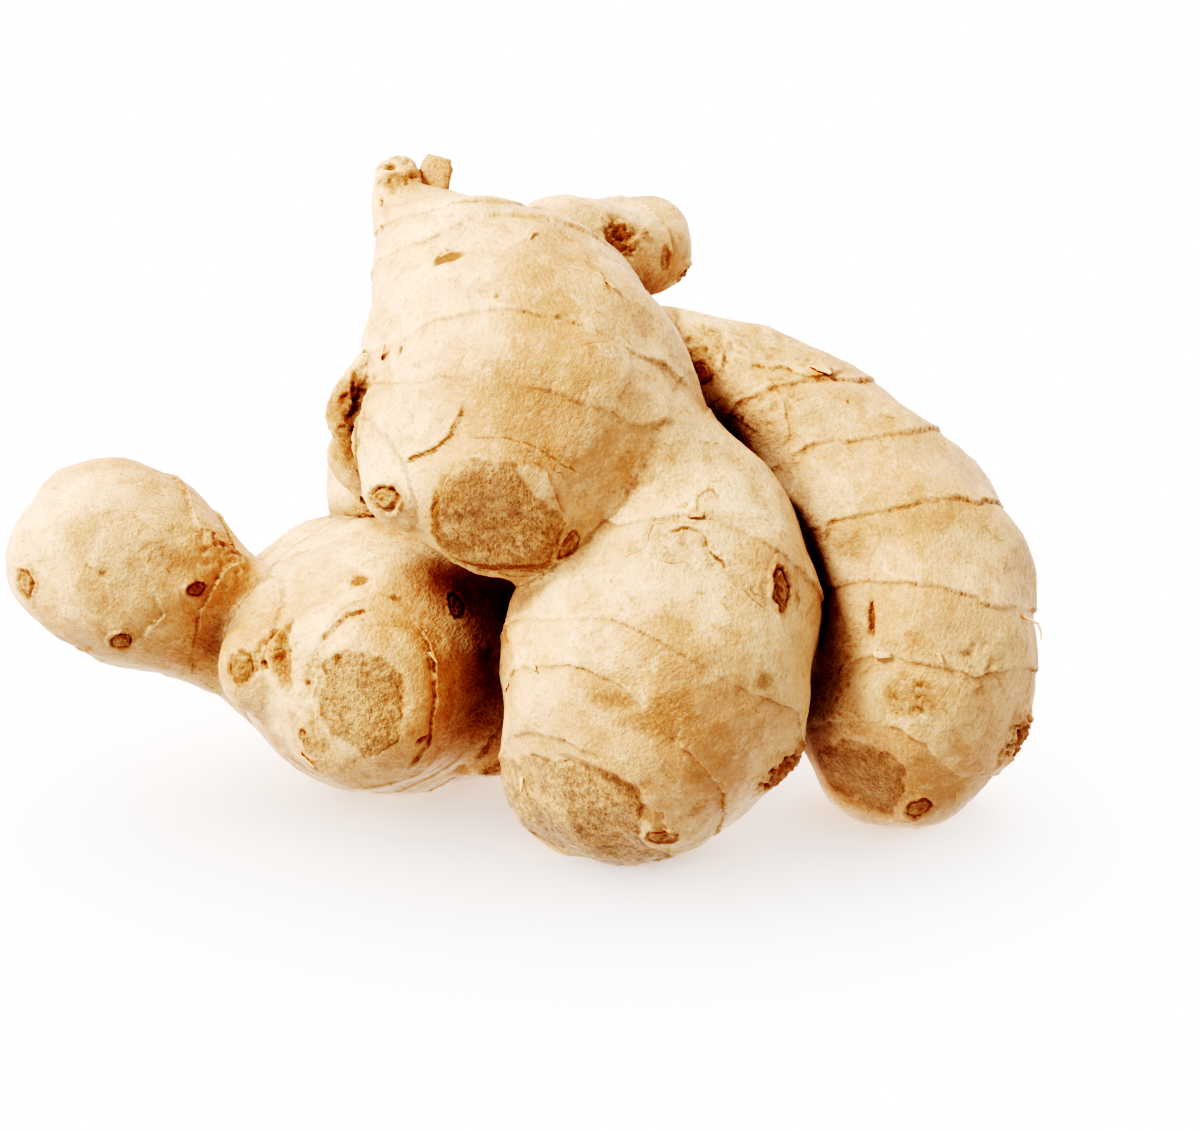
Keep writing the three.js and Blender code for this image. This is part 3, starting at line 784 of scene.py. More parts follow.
SEEDS = {  # where each kind of mark starts its noise
    "tone_and_light": 20,
    "blotch": 30,
    "peel": 40,
    "rings": 100,
    "cracks": 500,
    "buds": 900,
    "scars": 1200,
    "stains": 1500,
    "crumples": 1600,
    "pleats": 1700,
    "flakes": 2000,
    "brown_flakes": 2100,
}
FAINT = {"knob": 0.5, "left": 0.7, "nub": 0.3, "top": 0.75}  # lobes whose leaf rings are worn
PEELS = (-0.28, 0.16)  # where one layer of the papery skin ends, on a scale from -1 to 1
PEEL_EDGE = 0.012  # half the width of the change of colour there, on the same scale
BLANK = {  # the marks of plain skin
    "ring_gap": NOTHING,
    "ring_force": 0.0,
    "band": 0.0,
    "crack_gap": NOTHING,
    "crack_force": 0.0,
    "cork": -NOTHING,
    "bud": NOTHING,
    "stain": 0.0,
}


def spread(gap):
    """Draws the mesh apart at a line, so that the drop lies between two rows of corners."""
    share = STEP_WIDTH + np.abs(gap) * (STEP_REACH - STEP_WIDTH) / STEP_REACH
    return np.where(np.abs(gap) < STEP_REACH, np.where(gap < 0, -share, share), gap)


def edge_profile(gap, drop, high_fade, low_fade):
    """Height across a torn edge: the near side stands up to a lip, the far side lies low."""
    high = np.exp(-np.abs(gap) / high_fade) + 0.35 * hump(gap, -0.35, 0.22)
    low = -np.exp(-np.abs(gap) / low_fade) - 0.3 * hump(gap, 0.2, 0.18)
    return 0.5 * drop * np.where(gap < 0, high, low)


class Skin:
    """The finely meshed skin, its relief and what its material is told at each corner."""

    def __init__(self, form, sight, points, normals):
        self.form = form
        self.sight = sight
        self.points = points
        self.normals = normals
        self.height = np.zeros(len(points))
        self.slide = np.zeros_like(points)
        self.marks = {name: np.full(len(points), value) for name, value in BLANK.items()}
        self.marks["tone_and_light"] = rough(points, 16, SEEDS["tone_and_light"], 4)
        self.marks["blotch"] = rough(points, 5, SEEDS["blotch"], 3)
        self.marks["peel"] = rough(points * [1.0, 1.0, 1.3], 11, SEEDS["peel"], 5)
        self.grain = np.zeros_like(points)
        gaps, beads = form.gaps(points)
        nearest, lowest = gaps.argmin(0), gaps.min(0)
        self.coordinates = {}
        for i, lobe in enumerate(form.lobes):
            near = np.where(gaps[i] - lowest < MIX)[0]
            along, turn, arm = lobe.coordinates(points[near], beads[i, near])
            weight = 1 - (gaps[i, near] - lowest[near]) / MIX
            self.coordinates[lobe.name] = (near, along, turn, weight)
            grain = columns(arm * np.cos(turn), arm * np.sin(turn), along / GRAIN_STRETCH)
            own = nearest[near] == i
            self.grain[near[own]] = grain[own]

    def strengthen(self, name, near, values):
        """Raises a mark of these corners to the values, where it is weaker."""
        self.marks[name][near] = np.maximum(self.marks[name][near], values)

    def around(self, centre, reach, facing=None):
        """Indices of the corners within reach of a point, on the side that faces a direction."""
        box = (np.abs(self.points - centre) < reach).all(1)
        near = np.where(box)[0]
        near = near[((self.points[near] - centre) ** 2).sum(1) < reach**2]
        if facing is not None:
            near = near[self.normals[near] @ facing > 0.1]
        return near

    # -------- all over

    def lumps(self):
        """The flesh's lumps, the ends of peeled layers, fine bumps and fibres."""
        x, y, z = self.points.T
        crossed = np.sin(0.31 * x + 0.19 * z) * np.sin(0.27 * y - 0.17 * x)
        self.height += LUMP * (crossed + np.sin(0.23 * z + 0.4 * y))
        self.height += 0.35 * noise(self.points, 9, 1) + 0.14 * rough(self.points, 4, 2, 2)
        for level in PEELS:
            self.height += PEEL_STEP * smooth(-0.025, 0.025, self.marks["peel"] - level)
        self.height += 0.06 * rough(self.points, 2.6, 3, 3)
        fibres = noise(self.grain * [1, 1, 0.7], 1.0, 5) * smooth(-0.2, 0.6, noise(self.points, 7, 6))
        self.height += FIBRE * fibres + 0.02 * noise(self.points, 1.1, 8)

    # -------- leaf rings

    def ring(self, name, knots, seed):
        """One leaf ring, from its turns and distances along the lobe, closed round the far side."""
        near, along, turn, weight = self.coordinates[name]
        lobe = self.form.lobe(name)
        place, circle, ragged = ring_course(lobe, knots, turn, seed)
        gap = along - place - ragged
        force = np.clip(0.8 + 0.9 * noise(circle, 7, seed + 2), 0.15, 1.25)
        force = force * weight * FAINT.get(name, 1.0)
        moved = spread(gap)
        centre, heading, _, _ = lobe.section(along)
        self.slide[near] += heading * ((moved - gap) * (weight > 0.3))[:, None]
        self.height[near] += force * edge_profile(moved, RING_DROP, 3.2, 2.0)
        self.mark_line("ring", near, moved, force)
        self.mark_band(near, moved, force, 3.0)
        pleats = noise(columns(circle[:, 0], circle[:, 1], along / 5), 1.5, seed + 3)
        self.height[near] += 0.13 * pleats * force * np.exp(-np.abs(gap) / 3.5)

    def mark_line(self, kind, near, gap, force):
        """Notes how far each corner is from the nearest line of its kind, and how strong that line is."""
        gaps, forces = self.marks[kind + "_gap"], self.marks[kind + "_force"]
        closer = np.abs(gap) < np.abs(gaps[near])
        gaps[near[closer]] = gap[closer]
        forces[near[closer]] = (force * (1 - smooth(1.2, 2.4, np.abs(gap))))[closer]

    def mark_band(self, near, gap, force, width):
        """The browner skin just past a torn edge: partly fresher skin, partly painted shade below the
        step.
        """
        band = np.clip(force, 0, 1) * np.exp(-np.abs(gap) / width) * smooth(-0.1, 0.1, gap)
        self.strengthen("band", near, band)

    def rings(self):
        for lobe, knots, seed in ring_knots(self.form, self.sight):
            self.ring(lobe.name, knots, seed)

    # -------- cracks and torn edges

    def crack(self, path, drop, dark, seed):
        """A torn edge along a path of pixels, fading out at both ends."""
        line = self.sight.path(path, LINE_STEP)
        arc = np.concatenate([[0], np.cumsum(length(np.diff(line, axis=0)))])
        out = self.form.measure(line)[1]
        ahead = unit(np.gradient(line, axis=0) + 1e-9)
        left = np.cross(out, ahead)
        stray = RAG * (noise(arc + 50 * seed, 1.8, seed) + 0.5 * noise(arc + 50 * seed, 0.7, seed + 1))
        line = line + left * stray[:, None]
        ends = np.minimum(smooth(-0.3, 2.0, arc), smooth(-0.3, 2.0, arc[-1] - arc))
        low, high = line.min(0) - CRACK_REACH, line.max(0) + CRACK_REACH
        near = np.where(((self.points > low) & (self.points < high)).all(1))[0]
        near = near[self.normals[near] @ out.mean(0) > 0]
        spans = line[1:] - line[:-1]
        best = np.full(len(near), np.inf)
        gap = np.full(len(near), np.inf)
        force = np.zeros(len(near))
        side = np.zeros((len(near), 3))
        for k, span in enumerate(spans):
            arm = self.points[near] - line[k]
            share = np.clip(arm @ span / (span @ span + 1e-9), 0, 1)
            rest = arm - share[:, None] * span
            distance = length(rest)
            closer = distance < best
            best[closer] = distance[closer]
            gap[closer] = np.where(rest @ left[k] > 0, -distance, distance)[closer]
            force[closer] = (ends[k] * (1 - share) + ends[k + 1] * share)[closer]
            side[closer] = -left[k]
        kept = best < CRACK_REACH
        near, gap, force, side = near[kept], gap[kept], force[kept], side[kept]
        moved = gap + (spread(gap) - gap) * smooth(0, 0.3, force)
        self.slide[near] += side * (moved - gap)[:, None]
        downhill = moved if drop > 0 else -moved
        self.height[near] += force * edge_profile(downhill, abs(drop), 1.6, 1.2)
        self.mark_line("crack", near, moved, force * dark)
        self.mark_band(near, downhill, 0.8 * force, 1.4)

    def cracks(self):
        for i, (path, drop, dark) in enumerate(CRACKS.values()):
            self.crack(path, drop, dark, SEEDS["cracks"] + 5 * i)

    # -------- buds

    def bud(self, centre, half_width, half_height, along, sunk, stand, seed):
        """A mound with rings of old scale leaves, sunk at their edges, and crumpled skin over it."""
        out, first, second = self.sight.frame(centre, along)
        near = self.around(centre, 3 * max(half_width, half_height), out)
        spots = self.points[near]
        arm = spots - centre
        across = arm @ first / half_width + 0.25 * noise(spots, 1.6, seed)
        up = arm @ second / half_height + 0.25 * noise(spots, 1.6, seed + 1)
        reach = np.hypot(across, up) + 0.12 * noise(spots, 0.8, seed + 6)
        curl = np.arctan2(up, across)
        torn = np.clip(0.5 + 1.0 * noise(spots, 1.4, seed + 2), 0, 1.5)
        uneven = np.clip(0.7 + 0.9 * noise(spots, 2, seed + 3), 0.15, 1.4)
        height = 0.75 * stand * hump(reach, 0, 1.5)
        height += 0.36 * torn * hump(reach, 1.12, 0.16)
        height -= 0.9 * sunk * hump(reach, 0.88, 0.15) * uneven
        height -= 0.5 * sunk * hump(reach, 0.48, 0.12) * (1.4 - uneven)
        height -= 0.5 * sunk * hump(reach, 0, 0.2)
        folds = np.cos(2 * math.pi * 1.9 * reach - curl + 2.5 * noise(spots, 2.2, seed + 4))
        height += 0.13 * folds * (1 - smooth(1.1, 2.1, reach)) * smooth(0.1, 0.35, reach)
        height += 0.16 * noise(spots, 0.8, seed + 5) * (1 - smooth(0.9, 1.5, reach))
        self.height[near] += height
        self.marks["bud"][near] = np.minimum(self.marks["bud"][near], reach)

    def buds(self):
        seed = SEEDS["buds"]
        for pixel, half_width, half_height, lean, sunk, stand in BUDS.values():
            centre = self.sight.place(pixel)
            lean = math.radians(lean)
            along = math.cos(lean) * VIEW_RIGHT - math.sin(lean) * VIEW_UP
            self.bud(centre, half_width, half_height, along, sunk, stand, seed)
            seed += 5
        for name, back, turn, radius in HIDDEN_BUDS:
            lobe = self.form.lobe(name)
            centre, heading, above, aside = lobe.section(np.array([lobe.length - back]))
            turn = math.radians(turn)
            way = (math.cos(turn) * above + math.sin(turn) * aside)[0]
            reach = np.interp(lobe.length - back, lobe.along, lobe.radii)
            spot = self.form.settle(centre + way * reach, 6)[0]
            self.bud(spot, radius, 0.75 * radius, heading[0], *HIDDEN_BUD_RELIEF, seed)
            seed += 5

    # -------- corky ends

    def scar(self, name, facing, radius, depth, dome, margin, outline, seed):
        """A gently domed flat with a ragged rim of skin round a floor of pitted cork."""
        if outline is None:
            lobe = self.form.lobe(name)
            facing = unit(facing)
            middle = lobe.centres[-1] + facing * (lobe.radii[-1] - depth)
        else:
            rim = self.sight.rim(outline)
            facing = unit(self.form.measure(rim)[1].mean(0))
            middle = self.form.settle(rim.mean(0)[None] + 2 * facing, 6)[0] - depth * facing
            radius = length(rim - middle).max()
        first = unit(np.cross([0.0, 0.0, 1.0], facing))
        second = np.cross(facing, first)
        near = self.around(middle, 1.2 * radius + margin + SCAR_REACH, facing)
        spots = self.points[near]
        arm = spots - middle
        flat = columns(arm @ first, arm @ second)
        if outline is None:
            inside = radius - np.hypot(*flat.T)
        else:
            arms = rim - middle
            inside = inside_distance(flat, columns(arms @ first, arms @ second))
        stray = 0.45 * noise(spots, 3.0, seed) + 0.3 * noise(spots, 1.0, seed + 1)
        mask = smooth(-1.2, 0.8, inside + margin + 0.5 * stray)
        excess = arm @ facing + (flat**2).sum(1) / (2 * dome)
        self.slide[near] -= facing * (np.maximum(excess, 0) * mask)[:, None]
        moved = inside + (CORK_STRAY_RINGED if name in RINGED_SCARS else CORK_STRAY) * stray
        ragged = np.clip(0.4 + 0.9 * noise(spots, 4, seed + 2), 0, 1.2)
        self.height[near] += edge_profile(spread(moved), 0.28, 0.4, 0.9) * ragged
        grain = columns(flat[:, 0], 0.5 * flat[:, 1], 0 * mask)
        cork = 0.06 * rough(spots, 1.6, seed + 3) + 0.03 * noise(grain, 0.7, seed + 6)
        pits = -0.2 * smooth(0.5, 0.8, noise(spots, 0.9, seed + 7))
        self.height[near] += (cork + pits) * smooth(-0.3, 0.6, moved)
        if name in RINGED_SCARS:
            distance = np.hypot(*flat.T) + 0.5 * noise(spots, 4, seed + 8)
            circles = np.cos(2 * math.pi * distance / CIRCLE_STEP)
            circles *= smooth(0.2, 0.6, noise(spots, 5, seed + 9))
            self.height[near] += 0.09 * circles * (1 - smooth(radius, radius + margin, distance))
        self.strengthen("cork", near, moved)

    def scars(self):
        for i, (name, details) in enumerate(SCARS.items()):
            self.scar(name, *details, SEEDS["scars"] + 10 * i)

    # -------- stains, crumples and pleats

    def stains(self):
        """Brown spots and pits."""
        for i, (pixel, half_width, half_height, deep, brown) in enumerate(STAINS.values()):
            centre = self.sight.place(pixel)
            out, first, second = self.sight.frame(centre)
            near = self.around(centre, 2.5 * max(half_width, half_height), out)
            arm = self.points[near] - centre
            reach = np.hypot(arm @ first / half_width, arm @ second / half_height)
            reach += 0.3 * noise(self.points[near], 1.4, SEEDS["stains"] + i)
            self.height[near] -= deep * (1 - smooth(0.6, 1.1, reach))
            self.strengthen("stain", near, brown * (1 - smooth(0.7, 1.25, reach)))

    def round_patch(self, pixel, radius):
        """The corners round the place that a pixel shows, and how far out they are, in radii."""
        centre = self.sight.place(pixel)
        near = self.around(centre, 1.5 * radius)
        return near, length(self.points[near] - centre) / radius

    def folds(self):
        """Drifts of colour, partly painted highlight and shade, and crumpled and pleated places."""
        for pixel, reach, amount in TONE_AND_LIGHT_DRIFTS.values():
            away = length(self.points - self.sight.place(pixel))
            self.marks["tone_and_light"] += amount * hump(away, 0, reach)
        for i, (pixel, radius, height, brown) in enumerate(CRUMPLES.values()):
            near, reach = self.round_patch(pixel, radius)
            waves = rough(self.points[near] * [1, 1, 1.4], 2.4, SEEDS["crumples"] + 5 * i)
            fold = 0.6 - 1.6 * np.abs(waves)
            amount = 1 - smooth(0.5, 1.2, reach)
            self.height[near] += height * fold * amount
            self.strengthen("stain", near, brown * amount * smooth(0.2, -0.6, fold))
        for i, (pixel, radius, height) in enumerate(PLEATS.values()):
            near, reach = self.round_patch(pixel, radius)
            fold = noise(self.grain[near], 1.3, SEEDS["pleats"] + i)
            self.height[near] += height * fold * (1 - smooth(0.4, 1.3, reach))

    def shape(self):
        """The corners after all the relief, with nothing below the floor."""
        self.lumps()
        self.rings()
        self.cracks()
        self.scars()
        self.buds()
        self.stains()
        self.folds()
        points = self.points + self.slide + self.normals * self.height[:, None]
        points[:, 2] = np.maximum(points[:, 2], 0)
        return points


def ring_course(lobe, knots, turn, seed):
    """A leaf ring's smooth place along its lobe, points on a circle there, and how far it strays."""
    turns, places = np.array(sorted(knots)).T
    place = np.interp(turn, turns, places, period=2 * math.pi)
    circle = columns(lobe.girth * np.cos(turn), lobe.girth * np.sin(turn), 0 * turn)
    return place, circle, RAG * (noise(circle, 2.4, seed) + 0.6 * noise(circle, 0.8, seed + 1))


def ring_knots(form, sight):
    """Every leaf ring: its lobe, its turns and distances along it, and its seed."""
    rings = []
    for name, paths in RINGS.items():
        lobe = form.lobe(name)
        for path in paths:
            points = sight.path(path, KNOT_STEP)
            gaps = [length(lobe.centres - p) - lobe.radii for p in points]
            along, turn, _ = lobe.coordinates(points, np.array([gap.argmin() for gap in gaps]))
            rings.append((lobe, list(zip(turn, along)), SEEDS["rings"] + 10 * len(rings)))
    for name, backs in HIDDEN_RINGS.items():
        lobe = form.lobe(name)
        for back in backs:
            seed = SEEDS["rings"] + 10 * len(rings)
            turns = np.linspace(-math.pi, math.pi, 7)[:-1]
            places = lobe.length - back + 0.9 * noise(turns * 3, 4, seed)
            rings.append((lobe, list(zip(turns, places)), seed))
    return rings


def inside_distance(points, outline):
    """Distance of flat points from a closed outline, positive inside it."""
    best = np.full(len(points), np.inf)
    crossings = np.zeros(len(points), int)
    for start, end in zip(outline, np.roll(outline, -1, axis=0)):
        span = end - start
        arm = points - start
        share = np.clip(arm @ span / (span @ span), 0, 1)
        best = np.minimum(best, length(arm - share[:, None] * span))
        spans = (start[1] > points[:, 1]) != (end[1] > points[:, 1])
        rise = np.where(spans, (points[:, 1] - start[1]) / (span[1] if span[1] else 1e-9), 0)
        crossings += spans & (points[:, 0] < start[0] + rise * span[0])
    return np.where(crossings % 2 == 1, best, -best)


# ---------------------------------------------------------------- the skin's mesh

COARSE = 0.9  # voxels of the first remesh, mm
FINE = 0.32  # voxels of the second
BODY_STEP = 3  # every third swelling of a lobe fills it out
BODY_INSET = 0.15  # how far the swellings stay inside the skin, mm
SKIN_TRIANGLES = 198000


def write_marks(mesh, skin):
    """Hands the marks to the material as attributes of the corners."""
    for name, values in skin.marks.items():
        mesh.attributes.new(name, "FLOAT", "POINT").data.foreach_set("value", values.astype(np.float32))
    grain = mesh.attributes.new("grain", "FLOAT_VECTOR", "POINT")
    grain.data.foreach_set("vector", skin.grain.astype(np.float32).ravel())


SHELTER_REACH = 22.0  # how far away another lobe still shelters the skin, mm
SHELTER_RAYS = 20
SHELTER_START = 0.4  # how far off the skin each ray starts, mm
SHELTER_BLURS = 3
LEVEL = 0.05  # a ray that falls less than this never meets the floor
FLOOR_SHELTER = 0.12  # how much the white floor shelters, as a share of what a lobe does: painted shade near the floor


def shelter(points, triangles):
    """How much of the open sky each corner lacks, from 0 to 1: the painted shade that darkens the
    creases.
    """
    tree = tree_of(points, triangles)
    normals = normals_of(points, triangles)
    k = np.arange(SHELTER_RAYS) + 0.5
    up = np.sqrt(1 - k / SHELTER_RAYS)
    spin = k * math.pi * (3 - math.sqrt(5))
    side = np.sqrt(1 - up**2)
    fan = columns(side * np.cos(spin), side * np.sin(spin), up)
    first = unit(np.cross(normals, [0.31, 0.52, 0.79]))
    second = np.cross(normals, first)
    blocked = np.zeros(len(points))
    starts = (points + SHELTER_START * normals).tolist()
    for a, b, c in fan:
        ways = a * first + b * second + c * normals
        rays = zip(starts, ways.tolist())
        hits = [tree.ray_cast(start, way, SHELTER_REACH)[3] for start, way in rays]
        hits = np.array([SHELTER_REACH if hit is None else hit for hit in hits])
        drop = np.maximum(-ways[:, 2], LEVEL)
        floor = np.where(drop > LEVEL, points[:, 2] / drop, SHELTER_REACH)
        floor = SHELTER_REACH - FLOOR_SHELTER * np.maximum(SHELTER_REACH - floor, 0)
        blocked += 1 - np.minimum(hits, floor) / SHELTER_REACH
    blocked /= SHELTER_RAYS
    for _ in range(SHELTER_BLURS):
        total = np.zeros(len(points))
        count = np.zeros(len(points))
        for i in range(3):
            for j in (1, 2):
                np.add.at(total, triangles[:, i], blocked[triangles[:, (i + j) % 3]])
                np.add.at(count, triangles[:, i], 1)
        blocked = 0.5 * blocked + 0.5 * total / np.maximum(count, 1)
    return blocked


def mark_crease_shade(obj, points, triangles):
    """Gives each corner of the finished skin the shelter of the nearest corner of the coarse one, for its
    painted shade.
    """
    sheltered = shelter(points, triangles)
    nearest = KDTree(len(points))
    for i, point in enumerate(points):
        nearest.insert(point, i)
    nearest.balance()
    corners, _ = mesh_arrays(obj.data)
    values = []
    for corner in corners:
        found = nearest.find_n(corner, 3)
        weights = [1 / (0.2 + distance) for _, _, distance in found]
        values.append(sum(w * sheltered[i] for w, (_, i, _) in zip(weights, found)) / sum(weights))
    hollow = obj.data.attributes.new("hollow", "FLOAT", "POINT")
    hollow.data.foreach_set("value", np.array(values, np.float32))


def fill_out(mesh, form):
    """Adds each lobe's swellings to the CAD form, so that its finer lobes and buds have a body."""
    body = bmesh.new()
    body.from_mesh(mesh)
    for lobe in form.lobes:
        for centre, radius in zip(lobe.centres[::BODY_STEP], lobe.radii[::BODY_STEP]):
            place = Matrix.Translation(Vector((centre - ORIGIN) * MM))
            size = (radius - BODY_INSET) * MM
            bmesh.ops.create_icosphere(body, subdivisions=3, radius=size, matrix=place)
    body.to_mesh(mesh)
    body.free()


def make_skin():
    """The CAD form filled out, drawn onto the smooth form and given its relief."""
    form = Form(LOBES)
    obj = new_object("ginger_skin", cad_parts["rhizome"].data.copy())
    fill_out(obj.data, form)
    with_modifier(obj, "REMESH", mode="VOXEL", voxel_size=COARSE * MM)
    corners, triangles = mesh_arrays(obj.data)
    corners = form.settle(corners)
    set_corners(obj.data, corners)
    sight = Sight(form, corners, triangles)
    coarse = corners, triangles
    with_modifier(obj, "REMESH", mode="VOXEL", voxel_size=FINE * MM)
    corners, triangles = mesh_arrays(obj.data)
    corners = form.settle(corners, 2)
    skin = Skin(form, sight, corners, normals_of(corners, triangles))
    set_corners(obj.data, skin.shape())
    write_marks(obj.data, skin)
    with_modifier(obj, "DECIMATE", ratio=SKIN_TRIANGLES / len(triangles), use_collapse_triangulate=True)
    mark_crease_shade(obj, *coarse)
    for polygon in obj.data.polygons:
        polygon.use_smooth = True
    return obj, sight


# ---------------------------------------------------------------- materials

CREAM = (0.82, 0.505, 0.297, 1.0)
TAN = (0.665, 0.347, 0.187, 1.0)
PAPER = (0.89, 0.60, 0.37, 1.0)
ORANGE = (0.475, 0.216, 0.098, 1.0)
RUST = (0.27, 0.11, 0.035, 1.0)
# CREASE_SHADE is painted shade, multiplied into the colour where the skin is sheltered.
CREASE_SHADE = (0.44, 0.46, 0.49, 1.0)
CORK_PALE = (0.56, 0.305, 0.158, 1.0)
CORK_DARK = (0.27, 0.125, 0.056, 1.0)


class Recipe:
    """Builds the nodes of one material, whose lengths are in millimetres."""

    def __init__(self, name):
        self.material = bpy.data.materials.new(name)
        self.material.use_nodes = True
        self.tree = self.material.node_tree
        self.shader = self.tree.nodes["Principled BSDF"]
        self.place = self.maths("MULTIPLY", self.node("ShaderNodeTexCoord").outputs["Object"], 1000)
        self.grain = self.mark("grain", "Vector")

    def give(self, name, value):
        self.feed(self.shader.inputs[name], value)

    def node(self, kind, **settings):
        node = self.tree.nodes.new(kind)
        for name, value in settings.items():
            setattr(node, name, value)
        return node

    def feed(self, socket, value):
        if isinstance(value, bpy.types.NodeSocket):
            self.tree.links.new(value, socket)
        else:
            socket.default_value = value

    def maths(self, operation, first, second=0.0):
        vectors = isinstance(first, bpy.types.NodeSocket) and first.type == "VECTOR"
        if vectors:
            node = self.node("ShaderNodeVectorMath", operation=operation)
            if not isinstance(second, (tuple, bpy.types.NodeSocket)):
                second = (second, second, second)
        else:
            node = self.node("ShaderNodeMath", operation=operation)
        self.feed(node.inputs[0], first)
        self.feed(node.inputs[1], second)
        return node.outputs[0]

    def product(self, *factors):
        return functools.reduce(lambda one, other: self.maths("MULTIPLY", one, other), factors)

    def total(self, *terms):
        return functools.reduce(lambda one, other: self.maths("ADD", one, other), terms)

    def fade(self, value, low, high):
        """0 below low and 1 above high; low may be the greater of the two."""
        node = self.node("ShaderNodeMapRange", interpolation_type="SMOOTHSTEP")
        self.feed(node.inputs["Value"], value)
        self.feed(node.inputs["From Min"], low)
        self.feed(node.inputs["From Max"], high)
        return node.outputs["Result"]

    def line(self, value, width):
        """1 where a signed distance is nearly 0, and 0 beyond the width."""
        return self.fade(self.maths("ABSOLUTE", value), width, width * 0.35)

    def blend(self, share, first, second, kind="MIX"):
        node = self.node("ShaderNodeMix", data_type="RGBA", blend_type=kind)
        self.feed(node.inputs[0], share)
        self.feed(node.inputs[6], first)
        self.feed(node.inputs[7], second)
        return node.outputs[2]

    def layers(self, colour, *coats):
        """Lays coats over a colour, each a shade and the factors of its share."""
        for shade, *factors in coats:
            colour = self.blend(self.product(*factors), colour, shade)
        return colour

    def mark(self, name, output="Fac"):
        return self.node("ShaderNodeAttribute", attribute_name=name).outputs[output]

    def cloud(self, where, wavelength, detail, roughness):
        node = self.node("ShaderNodeTexNoise")
        self.feed(node.inputs["Vector"], where)
        node.inputs["Scale"].default_value = 1 / wavelength
        node.inputs["Detail"].default_value = detail
        node.inputs["Roughness"].default_value = roughness
        return node.outputs["Fac"]

    def bump(self, height):
        """Lays fine relief, given in millimetres, over the surface."""
        node = self.node("ShaderNodeBump")
        node.inputs["Strength"].default_value = 1.0
        node.inputs["Distance"].default_value = MM
        self.feed(node.inputs["Height"], height)
        self.give("Normal", node.outputs["Normal"])

    def flesh(self, weight, reach):
        """Lets light into the surface a little way, red the furthest."""
        self.give("Subsurface Weight", weight)
        self.give("Subsurface Radius", (1.0, 0.6, 0.35))
        self.give("Subsurface Scale", reach * MM)


